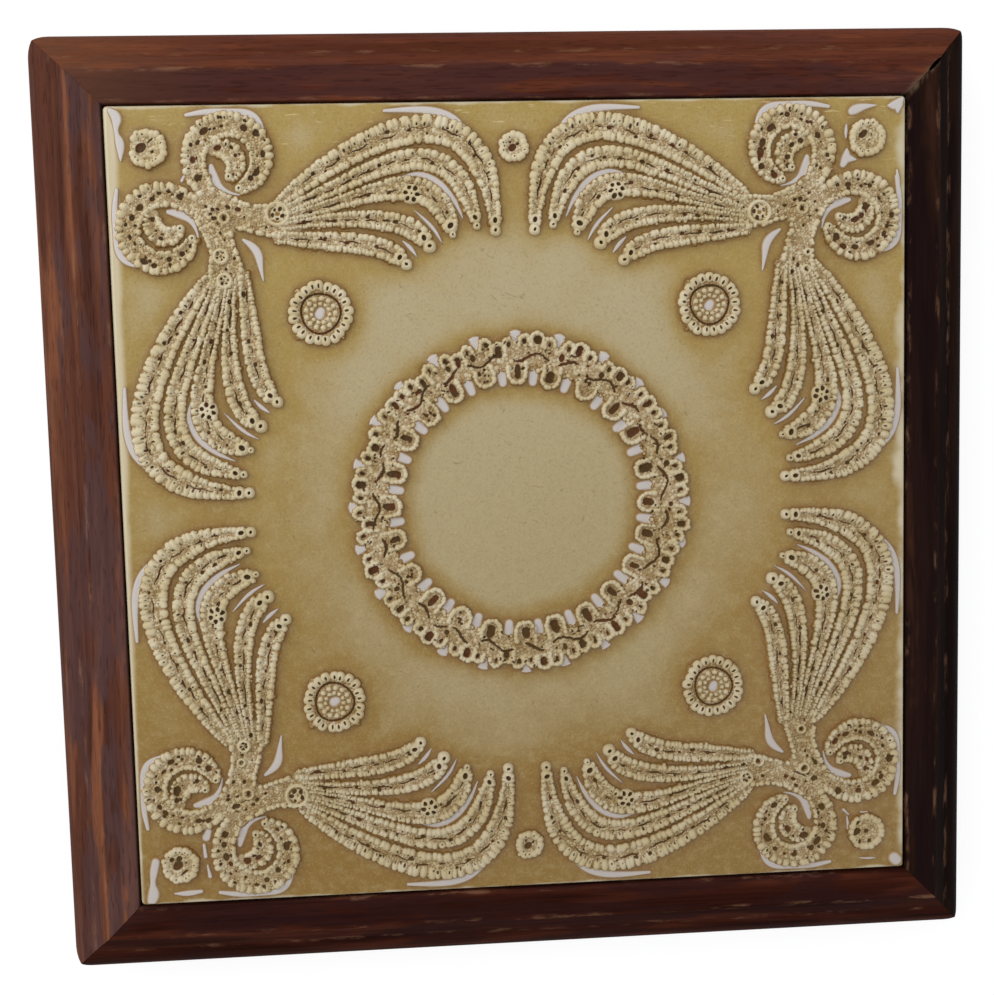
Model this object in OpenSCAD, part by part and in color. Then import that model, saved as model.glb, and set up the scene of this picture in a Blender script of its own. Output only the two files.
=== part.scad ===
// Square tile trivet: a relief tile in a mitred wooden frame.
// Millimetres. Origin under the middle, on the surface it stands on. +Z is up, +Y is the back edge.

/* [Tile] */
// Width of the square tile
tile_w = 151.8; // [148:0.1:156]
// Thickness of the tile
tile_t = 8.6; // [7:0.1:10]
// Radius of the soft edge round the tile's face
tile_edge_r = 1; // [0.8:0.1:1.6]
// Radius of the tile's corners in plan
tile_corner_r = 1.2; // [1:0.1:2.5]
// Gap between the tile and the frame
tile_gap = 0.5; // [0.3:0.1:0.9]

/* [Frame] */
// Height of the rails
rail_h = 14; // [13:0.1:16]
// Width of the flat on top of a rail
rail_flat_w = 6.1; // [5.5:0.1:8]
// Width of the bevel beside the flat
bevel_w = 3.4; // [2.5:0.1:4.5]
// How far the bevel drops
bevel_drop = 3.1; // [2:0.1:3.6]
// Width of the rounded outer edge
edge_w = 5.3; // [4.4:0.1:6]
// Radius of the rounded outer edge
edge_r = 7.2; // [6.4:0.1:7.8]
// Radius of the frame's outer corners in plan
corner_r = 3.6; // [2:0.1:4.5]

/* [Backing] */
// Width of the rabbet that holds the panel
rabbet_w = 4.6; // [3.8:0.1:5.4]
// Thickness of the panel
panel_t = 3.2; // [2.6:0.1:3.6]
// How far the panel lies above the underside of the rails
panel_recess = 1; // [0.8:0.1:1.4]
// Gap between the panel and the rabbet's wall
panel_gap = 0.3; // [0.2:0.1:0.6]
// Diameter of an adhesive dab
dab_d = 34; // [20:1:44]
// Thickness of an adhesive dab
dab_t = 1.5; // [1.2:0.1:1.8]

/* [Fasteners] */
// Diameter of a panel pin's shank
pin_d = 1.2; // [1:0.1:1.4]
// Diameter of a panel pin's head
pin_head_d = 2.2; // [1.8:0.1:2.6]
// Thickness of a panel pin's head
pin_head_t = 0.5; // [0.4:0.1:0.7]
// How deep a pin goes into the rail
pin_bite = 5; // [4:0.1:6]
// Pins along each rail
pins_per_rail = 3; // [2:1:5]
// Radial clearance round a pin
pin_clear = 0.05; // [0.04:0.01:0.1]
// Length of one leg of a corner wedge
wedge_leg = 4; // [3:0.1:4.6]
// Thickness of a corner wedge
wedge_t = 0.6; // [0.5:0.1:0.8]
// Height of a corner wedge
wedge_h = 6; // [5:0.1:7]
// Clearance round a corner wedge
wedge_clear = 0.05; // [0.04:0.01:0.1]

/* [Feet] */
// Diameter of a foot pad
foot_d = 9; // [8:0.1:9.6]
// Thickness of a foot pad
foot_t = 2.4; // [2:0.1:3]
// Chamfer round the bottom of a foot pad
foot_chamfer = 0.5; // [0.3:0.1:0.8]

/* [Relief] */
// Height of the relief above the glazed face
relief_h = 1.3; // [1:0.1:1.7]
// Width of the widest plume finger
finger_w = 5.4; // [5:0.1:5.6]
// Radius of the bosses that the plumes spring from
boss_r = 2.4; // [2:0.1:2.6]
// Radius of a hub
hub_r = 2.6; // [2.2:0.1:2.8]
// Width of a curl at its widest
curl_w = 5; // [4.4:0.1:5.2]
// Outer radius of the wreath
wreath_r = 33; // [32:0.1:34]
// Width of the wreath's ring, from inner to outer petal tips
wreath_w = 10.4; // [9.8:0.1:11.2]
// Lobes round the wreath
wreath_lobes = 24; // [20:1:26]
// Radius of a field rosette
rosette_r = 6.3; // [5.6:0.1:6.8]
// Radius of a corner rosette
corner_rosette_r = 3.8; // [3.2:0.1:4]
// Radius of an edge rosette
edge_rosette_r = 3; // [2.6:0.1:3.2]
// Gap kept between neighbouring raised pieces
relief_gap = 0.3; // [0.2:0.05:0.4]

/* [Hidden] */

$fn = 48;
cut = 1;

// Levels, from the surface up
rail_z = foot_t;
panel_z = rail_z + panel_recess;
dab_z = panel_z + panel_t;
tile_z = dab_z + dab_t;
face_z = tile_z + tile_t;

// Plan sizes, measured from the middle
tile_half = tile_w / 2;
open_half = tile_half + tile_gap;
rail_w = rail_flat_w + bevel_w + edge_w;
outer_half = open_half + rail_w;
panel_half = open_half + rabbet_w - panel_gap;
land_w = rail_w - rabbet_w;
pin_line = open_half + (rabbet_w - panel_gap) / 2;
pin_pitch = 2 * open_half / (pins_per_rail + 1);
foot_at = outer_half - land_w / 2;
wreath_in_r = wreath_r - wreath_w;

// Relief layout, as shares of half the tile's width, drawn for the right half of the back edge
hub_share = 0.722;
hub_neck_share = 0.738;
boss_shares = [0.584, 0.732];
field_rosette_share = 0.489;
corner_rosette_share = 0.895;
edge_rosette_share = 0.886;

// Four control points of each finger's centre line, outermost finger first
finger_shares = [
    [[0.580, 0.758], [0.553, 0.784], [0.053, 1.186], [0.049, 0.675]],
    [[0.570, 0.740], [0.369, 0.811], [0.145, 0.995], [0.094, 0.686]],
    [[0.570, 0.722], [0.362, 0.758], [0.195, 0.883], [0.153, 0.661]],
    [[0.574, 0.700], [0.435, 0.725], [0.244, 0.735], [0.212, 0.640]],
    [[0.586, 0.677], [0.422, 0.657], [0.316, 0.669], [0.269, 0.598]]
];
// Half width of each finger from root to tip, as shares of half the widest finger
finger_w_shares = [
    [0.34, 0.70, 0.84, 0.98, 1.00, 0.95, 0.64],
    [0.32, 0.56, 0.70, 0.76, 0.76, 0.76, 0.54],
    [0.30, 0.44, 0.60, 0.82, 0.88, 0.82, 0.56],
    [0.30, 0.42, 0.54, 0.64, 0.68, 0.68, 0.54],
    [0.46, 0.64, 0.70, 0.72, 0.68, 0.62, 0.50]
];
finger_rings = [18, 14, 14, 12, 12];

// Curl: a stem that rises from the hub into a spiral, and a hook inside it
curl_mid_shares = [0.698, 0.868];
curl_start_share = 0.0915;
curl_end_share = 0.079;
curl_start_angle = -18;
curl_turn = 272;
curl_rings = 20;
stem_shares = [[0.755, 0.782], [0.763, 0.802], [0.775, 0.820], [0.7853, 0.8397]];
stem_rings = 4;
curl_w_shares = [0.50, 0.74, 0.90, 0.98, 1.00, 1.00, 1.00, 1.00, 0.92, 0.72, 0.44];
hook_mid_shares = [0.7195, 0.8555];
hook_r_share = 0.0365;
hook_start_angle = 64;
hook_turn = 176;
hook_rings = 10;
hook_w_shares = [0.46, 0.60, 0.64, 0.56, 0.36];

// Cross section of a raised band, from one side to the other: place and height shares
band_shares = [[-1, 0], [-0.92, 0.55], [-0.52, 1], [0, 0.66], [0.52, 1], [0.92, 0.55], [1, 0]];
// How much lower a narrow band is than a wide one: 0 for not at all, 1 in step with its width
thin_share = 0.3;

// Bosses, hubs, rosettes and wreath
boss_rim_share = 0.22;
boss_floor_share = 0.4;
hub_plate_share = 0.6;
hub_boss_share = 0.62;
neck_r_share = 0.72;
arm_wide_share = 1.1;
arm_tip_share = 1.15;
arm_reach_share = 0.75;
rim_beads = 20;
corner_beads = 14;
edge_beads = 11;
rim_bead_share = 0.15;
eye_ring_share = 0.4;
low_bead_share = 0.35;
groove_place_share = 0.55;
groove_depth_share = 0.28;
hole_share = 0.42;
dome_share = 1.6;
small_bead_share = 0.2;
small_rim_share = 0.75;
eye_hole_share = 0.22;
lobe_share = 0.68;
fan_share = 0.3;
side_petal_share = 0.24;
side_turn_share = 0.25;
wreath_plate_share = 0.45;

function bezier(p, t) =
    pow(1 - t, 3) * p[0] + 3 * pow(1 - t, 2) * t * p[1] + 3 * (1 - t) * t * t * p[2] + pow(t, 3) * p[3];

function bezier_dir(p, t) =
    pow(1 - t, 2) * (p[1] - p[0]) + 2 * (1 - t) * t * (p[2] - p[1]) + t * t * (p[3] - p[2]);

// Value at share t of a list, joined by straight lines
function along(list, t) =
    let (s = t * (len(list) - 1), i = min(floor(s), len(list) - 2))
    list[i] + (list[i + 1] - list[i]) * (s - i);

// One ring of a band: middle [x, y], heading angle, half width
function band_ring(mid, heading, half) =
    let (tall = relief_h * pow(half / (finger_w / 2), thin_share))
    [for (s = band_shares) [
        mid[0] - sin(heading) * s[0] * half,
        mid[1] + cos(heading) * s[0] * half,
        face_z + tall * s[1]
    ]];

function finger_ring(paths, widths, t) =
    let (dir = bezier_dir(paths, t))
    band_ring(bezier(paths, t) * tile_half, atan2(dir[1], dir[0]), along(widths, t) * finger_w / 2);

function spiral_point(mid, r0, r1, a0, turn, t) =
    let (r = r0 + (r1 - r0) * t, a = a0 + turn * t)
    [mid[0] + r * cos(a), mid[1] + r * sin(a)];

// A closed solid through rings of points that lie one after the other
module skin(rings) {
    n = len(rings[0]);
    last = len(rings) - 1;
    polyhedron(
        points = [for (ring = rings) for (p = ring) p],
        faces = concat(
            [[for (k = [n - 1 : -1 : 0]) k]],
            [for (r = [0 : last - 1]) for (k = [0 : n - 1])
                [r * n + k, (r + 1) * n + (k + 1) % n, (r + 1) * n + k]],
            [for (r = [0 : last - 1]) for (k = [0 : n - 1])
                [r * n + k, r * n + (k + 1) % n, (r + 1) * n + (k + 1) % n]],
            [[for (k = [0 : n - 1]) last * n + k]]
        )
    );
}

// Places what is drawn for the right half of the back edge into any corner, along X or along Y
module in_corner(side_x, side_y, swap) {
    mirror([side_x < 0 ? 1 : 0, 0, 0])
        mirror([0, side_y < 0 ? 1 : 0, 0])
            mirror(swap ? [1, -1, 0] : [0, 0, 0])
                children();
}

// Removes the sharp outside of a square corner at [half, half], from z up by h
module corner_cutter(half, r, z, h) {
    translate([half - r, half - r, z])
        difference() {
            cube([r + cut, r + cut, h]);
            translate([0, 0, -cut]) cylinder(h = h + 2 * cut, r = r);
        }
}

module four_turns() {
    for (a = [0 : 90 : 270]) rotate([0, 0, a]) children();
}

// Cross section of a rail: X out from the opening, Y up
module rail_section() {
    arris_z = rail_h - bevel_drop;
    round_x = rail_w - edge_r;
    round_z = arris_z - sqrt(edge_r * edge_r - (edge_r - edge_w) * (edge_r - edge_w));
    difference() {
        union() {
            square([rail_w - edge_w, arris_z]);
            square([rail_w, round_z]);
            polygon([
                [0, 0], [rail_flat_w + bevel_w, 0], [rail_flat_w + bevel_w, arris_z],
                [rail_flat_w, rail_h], [0, rail_h]
            ]);
            intersection() {
                translate([round_x, round_z]) circle(r = edge_r);
                translate([rail_flat_w, round_z]) square([bevel_w + edge_w, arris_z - round_z]);
            }
        }
        translate([-cut, -cut]) square([rabbet_w + cut, panel_recess + panel_t + cut]);
    }
}

// Chevron of a corner wedge in plan, its point towards the middle, grown by clear
module wedge_outline(clear) {
    leg = wedge_leg + clear;
    half_t = wedge_t / 2 + clear;
    for (a = [0, 90]) rotate(a) translate([-half_t, -half_t]) square([leg + half_t, 2 * half_t]);
}

module wedge_place() {
    apex = outer_half - land_w / 2 - wedge_leg / 2;
    translate([apex, apex, rail_z]) children();
}

module pin_places() {
    for (k = [1 : pins_per_rail])
        translate([k * pin_pitch - open_half, pin_line, panel_z - pin_head_t]) children();
}

// The back rail; the other three are turns of it
module rail() {
    difference() {
        translate([-outer_half, open_half, rail_z])
            rotate([90, 0, 90])
                linear_extrude(2 * outer_half) rail_section();
        for (side = [0, 1])
            mirror([side, 0, 0])
                translate([0, 0, rail_z - cut])
                    linear_extrude(rail_h + 2 * cut)
                        polygon([[0, 0], [outer_half + cut, outer_half + cut], [outer_half + cut, 0]]);
        for (side = [0, 1])
            mirror([side, 0, 0]) {
                corner_cutter(outer_half, corner_r, rail_z - cut, rail_h + 2 * cut);
                wedge_place()
                    translate([0, 0, -cut])
                        linear_extrude(wedge_h + wedge_clear + cut) wedge_outline(wedge_clear);
            }
        pin_places()
            cylinder(h = pin_head_t + panel_t + pin_bite + pin_clear, r = pin_d / 2 + pin_clear);
    }
}

module rail_back() {
    color("#4a2f2a") rail();
}

module rail_left() {
    color("#5a352b") rotate([0, 0, 90]) rail();
}

module rail_front() {
    color("#3a2422") rotate([0, 0, 180]) rail();
}

module rail_right() {
    color("#40282a") rotate([0, 0, 270]) rail();
}

module corner_wedges() {
    color("#8a8d90")
        four_turns()
            wedge_place() linear_extrude(wedge_h) wedge_outline(0);
}

module base_panel() {
    color("#7a5a3c")
        difference() {
            translate([-panel_half, -panel_half, panel_z])
                cube([2 * panel_half, 2 * panel_half, panel_t]);
            four_turns()
                pin_places()
                    cylinder(h = pin_head_t + panel_t + cut, r = pin_d / 2 + pin_clear);
        }
}

module panel_pins() {
    color("#9a9c9e")
        four_turns()
            pin_places() {
                cylinder(h = pin_head_t + panel_t + pin_bite, r = pin_d / 2);
                cylinder(h = pin_head_t, r = pin_head_d / 2);
            }
}

module adhesive_dabs() {
    color("#d8d3c4")
        translate([0, 0, dab_z]) {
            cylinder(h = dab_t, r = dab_d / 2);
            four_turns()
                translate([open_half / 2, open_half / 2, 0]) cylinder(h = dab_t, r = dab_d / 2);
        }
}

// Pressed tile with a softly rounded edge round its face
module tile() {
    color("#b79f63")
        difference() {
            translate([-tile_half, -tile_half, tile_z]) cube([tile_w, tile_w, tile_t]);
            four_turns() {
                translate([-tile_half - cut, tile_half - tile_edge_r, face_z - tile_edge_r])
                    difference() {
                        cube([tile_w + 2 * cut, tile_edge_r + cut, tile_edge_r + cut]);
                        translate([-cut, 0, 0])
                            rotate([0, 90, 0]) cylinder(h = tile_w + 4 * cut, r = tile_edge_r);
                    }
                corner_cutter(tile_half, tile_corner_r, tile_z - cut, tile_t + 2 * cut);
            }
        }
}

module foot(side_x, side_y) {
    color("#3b3733")
        translate([side_x * foot_at, side_y * foot_at, 0])
            rotate_extrude()
                polygon([
                    [0, 0], [foot_d / 2 - foot_chamfer, 0], [foot_d / 2, foot_chamfer],
                    [foot_d / 2, foot_t], [0, foot_t]
                ]);
}

// Round boss: a rolled ring round a low floor
module boss(r, h) {
    rim_r = r * boss_rim_share;
    cylinder(h = h * boss_floor_share, r = r - rim_r);
    difference() {
        union() {
            cylinder(h = h - rim_r, r = r);
            translate([0, 0, h - rim_r])
                rotate_extrude() translate([r - rim_r, 0]) circle(r = rim_r);
        }
        translate([0, 0, -cut]) cylinder(h = h + 2 * cut, r = r - 2 * rim_r);
    }
}

// Five fingers that fan out from a boss
module plume(side_x, side_y, swap) {
    color("#d9cb97")
        in_corner(side_x, side_y, swap) {
            for (f = [0 : len(finger_shares) - 1])
                skin([for (k = [0 : finger_rings[f]])
                    finger_ring(finger_shares[f], finger_w_shares[f], k / finger_rings[f])]);
            translate([boss_shares[0] * tile_half, boss_shares[1] * tile_half, face_z])
                boss(boss_r, relief_h);
        }
}

module curl(side_x, side_y, swap) {
    mid = curl_mid_shares * tile_half;
    hook_mid = hook_mid_shares * tile_half;
    count = stem_rings + curl_rings;
    stem = [for (k = [0 : stem_rings - 1])
        let (t = k / stem_rings, dir = bezier_dir(stem_shares, t))
        band_ring(bezier(stem_shares, t) * tile_half, atan2(dir[1], dir[0]),
            along(curl_w_shares, k / count) * curl_w / 2)];
    spiral = [for (k = [0 : curl_rings])
        let (t = k / curl_rings)
        band_ring(
            spiral_point(mid, curl_start_share * tile_half, curl_end_share * tile_half,
                curl_start_angle, curl_turn, t),
            curl_start_angle + curl_turn * t + 90,
            along(curl_w_shares, (stem_rings + k) / count) * curl_w / 2)];
    hook = [for (k = [0 : hook_rings])
        let (t = k / hook_rings)
        band_ring(
            spiral_point(hook_mid, hook_r_share * tile_half, hook_r_share * tile_half,
                hook_start_angle, hook_turn, t),
            hook_start_angle + hook_turn * t + 90,
            along(hook_w_shares, t) * curl_w / 2)];
    color("#d9cb97")
        in_corner(side_x, side_y, swap) {
            skin(concat(stem, spiral));
            skin(hook);
        }
}

// Junction of the two curls and the two plumes, with an arm to each boss
module hub(side_x, side_y) {
    middle = [hub_share, hub_share] * tile_half;
    neck = [hub_neck_share, hub_neck_share] * tile_half;
    boss_at = boss_shares * tile_half;
    plate_h = relief_h * hub_plate_share;
    color("#cdbb85")
        in_corner(side_x, side_y, false) {
            translate([0, 0, face_z])
                linear_extrude(plate_h)
                    difference() {
                        union() {
                            translate(middle) circle(r = hub_r);
                            translate(neck) circle(r = hub_r * neck_r_share);
                            for (flip = [[0, 0, 0], [1, -1, 0]])
                                mirror(flip)
                                    polygon([
                                        middle + [0, hub_r * arm_wide_share],
                                        boss_at + boss_r * [arm_reach_share, arm_tip_share],
                                        boss_at + boss_r * [arm_reach_share, -arm_tip_share],
                                        middle - [0, hub_r * arm_wide_share]
                                    ]);
                        }
                        for (flip = [[0, 0, 0], [1, -1, 0]])
                            mirror(flip) translate(boss_at) circle(r = boss_r + relief_gap);
                    }
            translate([middle[0], middle[1], face_z + plate_h])
                boss(hub_r * hub_boss_share, relief_h - plate_h);
        }
}

// A lobed disc: beads round a disc, in plan
module beaded_disc(r, bead_r, beads) {
    circle(r = r - bead_r);
    for (k = [0 : beads - 1])
        rotate(k * 360 / beads) translate([r - bead_r, 0]) circle(r = bead_r);
}

// Rosette with a beaded rim, a groove and a domed eye in a ring of small beads
module field_rosette(side_x, side_y) {
    bead_r = rosette_r * rim_bead_share;
    ring_r = rosette_r * eye_ring_share;
    bead_h = relief_h * low_bead_share;
    place = field_rosette_share * tile_half;
    color("#d9cb97")
        translate([side_x * place, side_y * place, face_z]) {
            difference() {
                linear_extrude(relief_h)
                    beaded_disc(rosette_r, bead_r, rim_beads);
                translate([0, 0, relief_h])
                    rotate_extrude()
                        translate([rosette_r * groove_place_share, 0])
                            circle(r = relief_h * groove_depth_share);
                for (k = [0 : rim_beads - 1])
                    rotate([0, 0, (k + 1 / 2) * 360 / rim_beads])
                        translate([rosette_r - 2 * bead_r, 0, relief_h - bead_h])
                            cylinder(h = relief_h, r = bead_r * hole_share);
                translate([0, 0, relief_h - bead_h]) cylinder(h = relief_h, r = ring_r);
            }
            translate([0, 0, relief_h - bead_h])
                intersection() {
                    translate([0, 0, bead_h - ring_r * dome_share]) sphere(r = ring_r * dome_share);
                    cylinder(h = relief_h, r = ring_r);
                }
        }
}

// Small rosette: a lobed disc with one off-centre hole
module small_rosette(r, beads, hole_turn) {
    bead_r = r * small_bead_share;
    hole_r = r * eye_hole_share;
    difference() {
        union() {
            linear_extrude(relief_h * small_rim_share) beaded_disc(r, bead_r, beads);
            cylinder(h = relief_h, r = r - 2 * bead_r);
        }
        rotate([0, 0, hole_turn])
            translate([hole_r, 0, relief_h * boss_floor_share]) cylinder(h = relief_h, r = hole_r);
    }
}

module corner_rosette(side_x, side_y) {
    place = corner_rosette_share * tile_half;
    color("#cfc08a")
        translate([side_x * place, side_y * place, face_z])
            small_rosette(corner_rosette_r, corner_beads, side_x > 0 ? 0 : 180);
}

module edge_rosette(side_y) {
    color("#cfc08a")
        translate([0, side_y * edge_rosette_share * tile_half, face_z])
            small_rosette(edge_rosette_r, edge_beads, side_y * 90);
}

// Petal along X with a round tip at x1
module petal(x0, x1, half) {
    translate([x0, -half]) square([x1 - half - x0, 2 * half]);
    translate([x1 - half, 0]) circle(r = half);
}

// Ring of petals: lobes that point in, and between them fans of three petals that point out
module wreath() {
    pitch = 360 / wreath_lobes;
    mid_r = (wreath_r + wreath_in_r) / 2;
    lobe_r = wreath_in_r * sin(pitch / 2) * lobe_share;
    fan_r = wreath_r * sin(pitch / 2) * fan_share;
    side_r = wreath_r * sin(pitch / 2) * side_petal_share;
    rim_h = relief_h * wreath_plate_share;
    color("#d9cb97")
        translate([0, 0, face_z]) {
            difference() {
                linear_extrude(relief_h) {
                    difference() {
                        circle(r = wreath_r - 2 * fan_r);
                        circle(r = wreath_in_r + 2 * lobe_r);
                    }
                    for (k = [0 : wreath_lobes - 1])
                        rotate(k * pitch) {
                            mirror([1, 0]) petal(-wreath_in_r - 3 * lobe_r, -wreath_in_r, lobe_r);
                            rotate(pitch / 2) petal(wreath_r - 3 * fan_r, wreath_r, fan_r);
                            for (side = [-1, 1])
                                rotate(pitch / 2 + side * pitch * side_turn_share)
                                    petal(wreath_r - 3 * fan_r, wreath_r - fan_r, side_r);
                        }
                }
                for (k = [0 : wreath_lobes - 1])
                    rotate([0, 0, k * pitch]) {
                        translate([wreath_in_r + 2 * lobe_r, 0, rim_h])
                            cylinder(h = relief_h, r = lobe_r * hole_share);
                        rotate([0, 0, pitch / 2])
                            translate([wreath_r - 2 * fan_r, 0, rim_h])
                                cylinder(h = relief_h, r = fan_r * hole_share);
                    }
                translate([0, 0, relief_h])
                    rotate_extrude() translate([mid_r, 0]) circle(r = relief_h * groove_depth_share);
            }
        }
}

rail_front();
rail_back();
rail_left();
rail_right();
corner_wedges();
base_panel();
panel_pins();
adhesive_dabs();
tile();
foot(-1, -1);  // foot_front_left
foot(1, -1);  // foot_front_right
foot(-1, 1);  // foot_back_left
foot(1, 1);  // foot_back_right
wreath();
hub(-1, -1);  // hub_front_left
hub(1, -1);  // hub_front_right
hub(-1, 1);  // hub_back_left
hub(1, 1);  // hub_back_right
plume(-1, -1, false);  // plume_x_front_left
plume(1, -1, false);  // plume_x_front_right
plume(-1, 1, false);  // plume_x_back_left
plume(1, 1, false);  // plume_x_back_right
plume(-1, -1, true);  // plume_y_front_left
plume(1, -1, true);  // plume_y_front_right
plume(-1, 1, true);  // plume_y_back_left
plume(1, 1, true);  // plume_y_back_right
curl(-1, -1, false);  // curl_x_front_left
curl(1, -1, false);  // curl_x_front_right
curl(-1, 1, false);  // curl_x_back_left
curl(1, 1, false);  // curl_x_back_right
curl(-1, -1, true);  // curl_y_front_left
curl(1, -1, true);  // curl_y_front_right
curl(-1, 1, true);  // curl_y_back_left
curl(1, 1, true);  // curl_y_back_right
field_rosette(-1, -1);  // rosette_front_left
field_rosette(1, -1);  // rosette_front_right
field_rosette(-1, 1);  // rosette_back_left
field_rosette(1, 1);  // rosette_back_right
corner_rosette(-1, -1);  // corner_rosette_front_left
corner_rosette(1, -1);  // corner_rosette_front_right
corner_rosette(-1, 1);  // corner_rosette_back_left
corner_rosette(1, 1);  // corner_rosette_back_right
edge_rosette(-1);  // edge_rosette_front
edge_rosette(1);  // edge_rosette_back
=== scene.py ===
import math
from contextlib import contextmanager

import bpy
import numpy as np
from mathutils import Matrix, Vector


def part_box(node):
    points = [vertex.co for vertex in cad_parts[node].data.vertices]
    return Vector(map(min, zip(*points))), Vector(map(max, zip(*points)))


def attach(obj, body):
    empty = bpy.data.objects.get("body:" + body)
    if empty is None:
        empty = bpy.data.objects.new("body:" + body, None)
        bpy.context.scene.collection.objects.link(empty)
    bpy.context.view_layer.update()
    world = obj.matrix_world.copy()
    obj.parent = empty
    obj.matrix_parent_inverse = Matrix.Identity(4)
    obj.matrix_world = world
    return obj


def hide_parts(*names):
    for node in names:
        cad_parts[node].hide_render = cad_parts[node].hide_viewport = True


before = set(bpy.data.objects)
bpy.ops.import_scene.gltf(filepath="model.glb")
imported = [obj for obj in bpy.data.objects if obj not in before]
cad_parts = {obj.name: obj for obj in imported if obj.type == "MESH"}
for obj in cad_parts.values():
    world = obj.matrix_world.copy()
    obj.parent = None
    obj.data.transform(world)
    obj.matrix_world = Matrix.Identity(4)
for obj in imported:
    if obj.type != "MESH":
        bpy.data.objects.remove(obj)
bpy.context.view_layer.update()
mm = 0.001


# General helpers

def deselectAll():
    if bpy.context.object and bpy.context.object.mode != "OBJECT":
        bpy.ops.object.mode_set(mode="OBJECT")
    bpy.ops.object.select_all(action="DESELECT")


def makeActive(piece):
    deselectAll()
    piece.select_set(True)
    bpy.context.view_layer.objects.active = piece


def added(operator, **settings):  # the object that an add operator makes
    deselectAll()
    operator(**settings)
    return bpy.context.object


@contextmanager
def editing(piece):  # edit mode for the lines inside
    makeActive(piece)
    bpy.ops.object.mode_set(mode="EDIT")
    yield bpy.ops.mesh
    bpy.ops.object.mode_set(mode="OBJECT")


def applyPlace(piece):
    makeActive(piece)
    bpy.ops.object.transform_apply(location=True, rotation=True, scale=True)


def applyModifier(piece, kind, **settings):
    makeActive(piece)
    modifier = piece.modifiers.new(kind.lower(), kind)
    for name, value in settings.items():
        setattr(modifier, name, value)
    bpy.ops.object.modifier_apply(modifier=modifier.name)


def bevelEdges(piece, width, segments, angle):  # rounds the edges sharper than the angle
    applyModifier(piece, "BEVEL", width=width * mm, segments=segments, limit_method="ANGLE",
                  angle_limit=math.radians(angle), harden_normals=False)


def cutBy(cutter, piece, operation):  # the exact solver turns a chipped rail inside out in some runs
    applyModifier(piece, "BOOLEAN", operation=operation, object=cutter, solver="MANIFOLD")
    bpy.data.objects.remove(cutter)


def selectVertices(piece, chosen):  # chosen is a true or false value for each vertex
    mesh = piece.data
    mesh.vertices.foreach_set("select", np.asarray(chosen, bool))
    mesh.edges.foreach_set("select", np.zeros(len(mesh.edges), bool))
    mesh.polygons.foreach_set("select", np.zeros(len(mesh.polygons), bool))


def readPoints(piece):
    points = np.empty(len(piece.data.vertices) * 3, np.float32)
    piece.data.vertices.foreach_get("co", points)
    return points.reshape(-1, 3).astype(float)


def writePoints(piece, points):
    piece.data.vertices.foreach_set("co", np.asarray(points, np.float32).ravel())
    piece.data.update()


def writeFields(piece, **fields):  # one value for each vertex, read by the material
    for name, values in fields.items():
        attribute = piece.data.attributes.new(name, "FLOAT", "POINT")
        attribute.data.foreach_set("value", values.astype(np.float32))


def smoothShade(piece, angle=None):
    makeActive(piece)
    if angle is None:
        bpy.ops.object.shade_smooth()
    else:
        bpy.ops.object.shade_smooth_by_angle(angle=math.radians(angle))


def outwardFaces(piece):
    with editing(piece) as edit:
        edit.select_all(action="SELECT")
        edit.remove_doubles(threshold=0.002 * mm)
        edit.normals_make_consistent(inside=False)


def copyPiece(piece, name):
    twin = piece.copy()
    twin.data = piece.data.copy()
    twin.name = name
    bpy.context.scene.collection.objects.link(twin)
    return twin


def setMaterial(piece, material):
    piece.data.materials.clear()
    piece.data.materials.append(material)


def finishPiece(piece, name, material, nodes):
    piece.name = name
    piece.data.name = name
    setMaterial(piece, material)
    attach(piece, "root")
    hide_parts(*nodes)


def rgb(red, green, blue):  # a colour as it looks on screen, 0 to 255, turned into light values
    shares = [value / 255 for value in (red, green, blue)]
    return tuple(s / 12.92 if s <= 0.04045 else ((s + 0.055) / 1.055) ** 2.4 for s in shares) + (1,)


# Shader maths written as expressions

class Wire:  # a shader value that adds, multiplies and so on by adding Math nodes
    def __init__(self, recipe, socket):
        self.recipe = recipe
        self.socket = socket

    def maths(self, operation, first, second, clamp=False):
        return self.recipe.add("Math", {0: first, 1: second}, operation=operation, use_clamp=clamp)

    def __add__(self, other): return self.maths("ADD", self, other)
    def __radd__(self, other): return self.maths("ADD", other, self)
    def __sub__(self, other): return self.maths("SUBTRACT", self, other)
    def __rsub__(self, other): return self.maths("SUBTRACT", other, self)
    def __mul__(self, other): return self.maths("MULTIPLY", self, other)
    def __truediv__(self, other): return self.maths("DIVIDE", self, other)
    def __pow__(self, other): return self.maths("POWER", self, other)
    def __abs__(self): return self.maths("ABSOLUTE", self, 0)
    def clamped(self): return self.maths("ADD", self, 0, True)
    def greater(self, other): return self.maths("MAXIMUM", self, other)

    def between(self, low, high):  # 0 below low, 1 above high, smooth in between
        sockets = {"Value": self, "From Min": low, "From Max": high}
        return self.recipe.add("MapRange", sockets, interpolation_type="SMOOTHSTEP")


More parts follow.
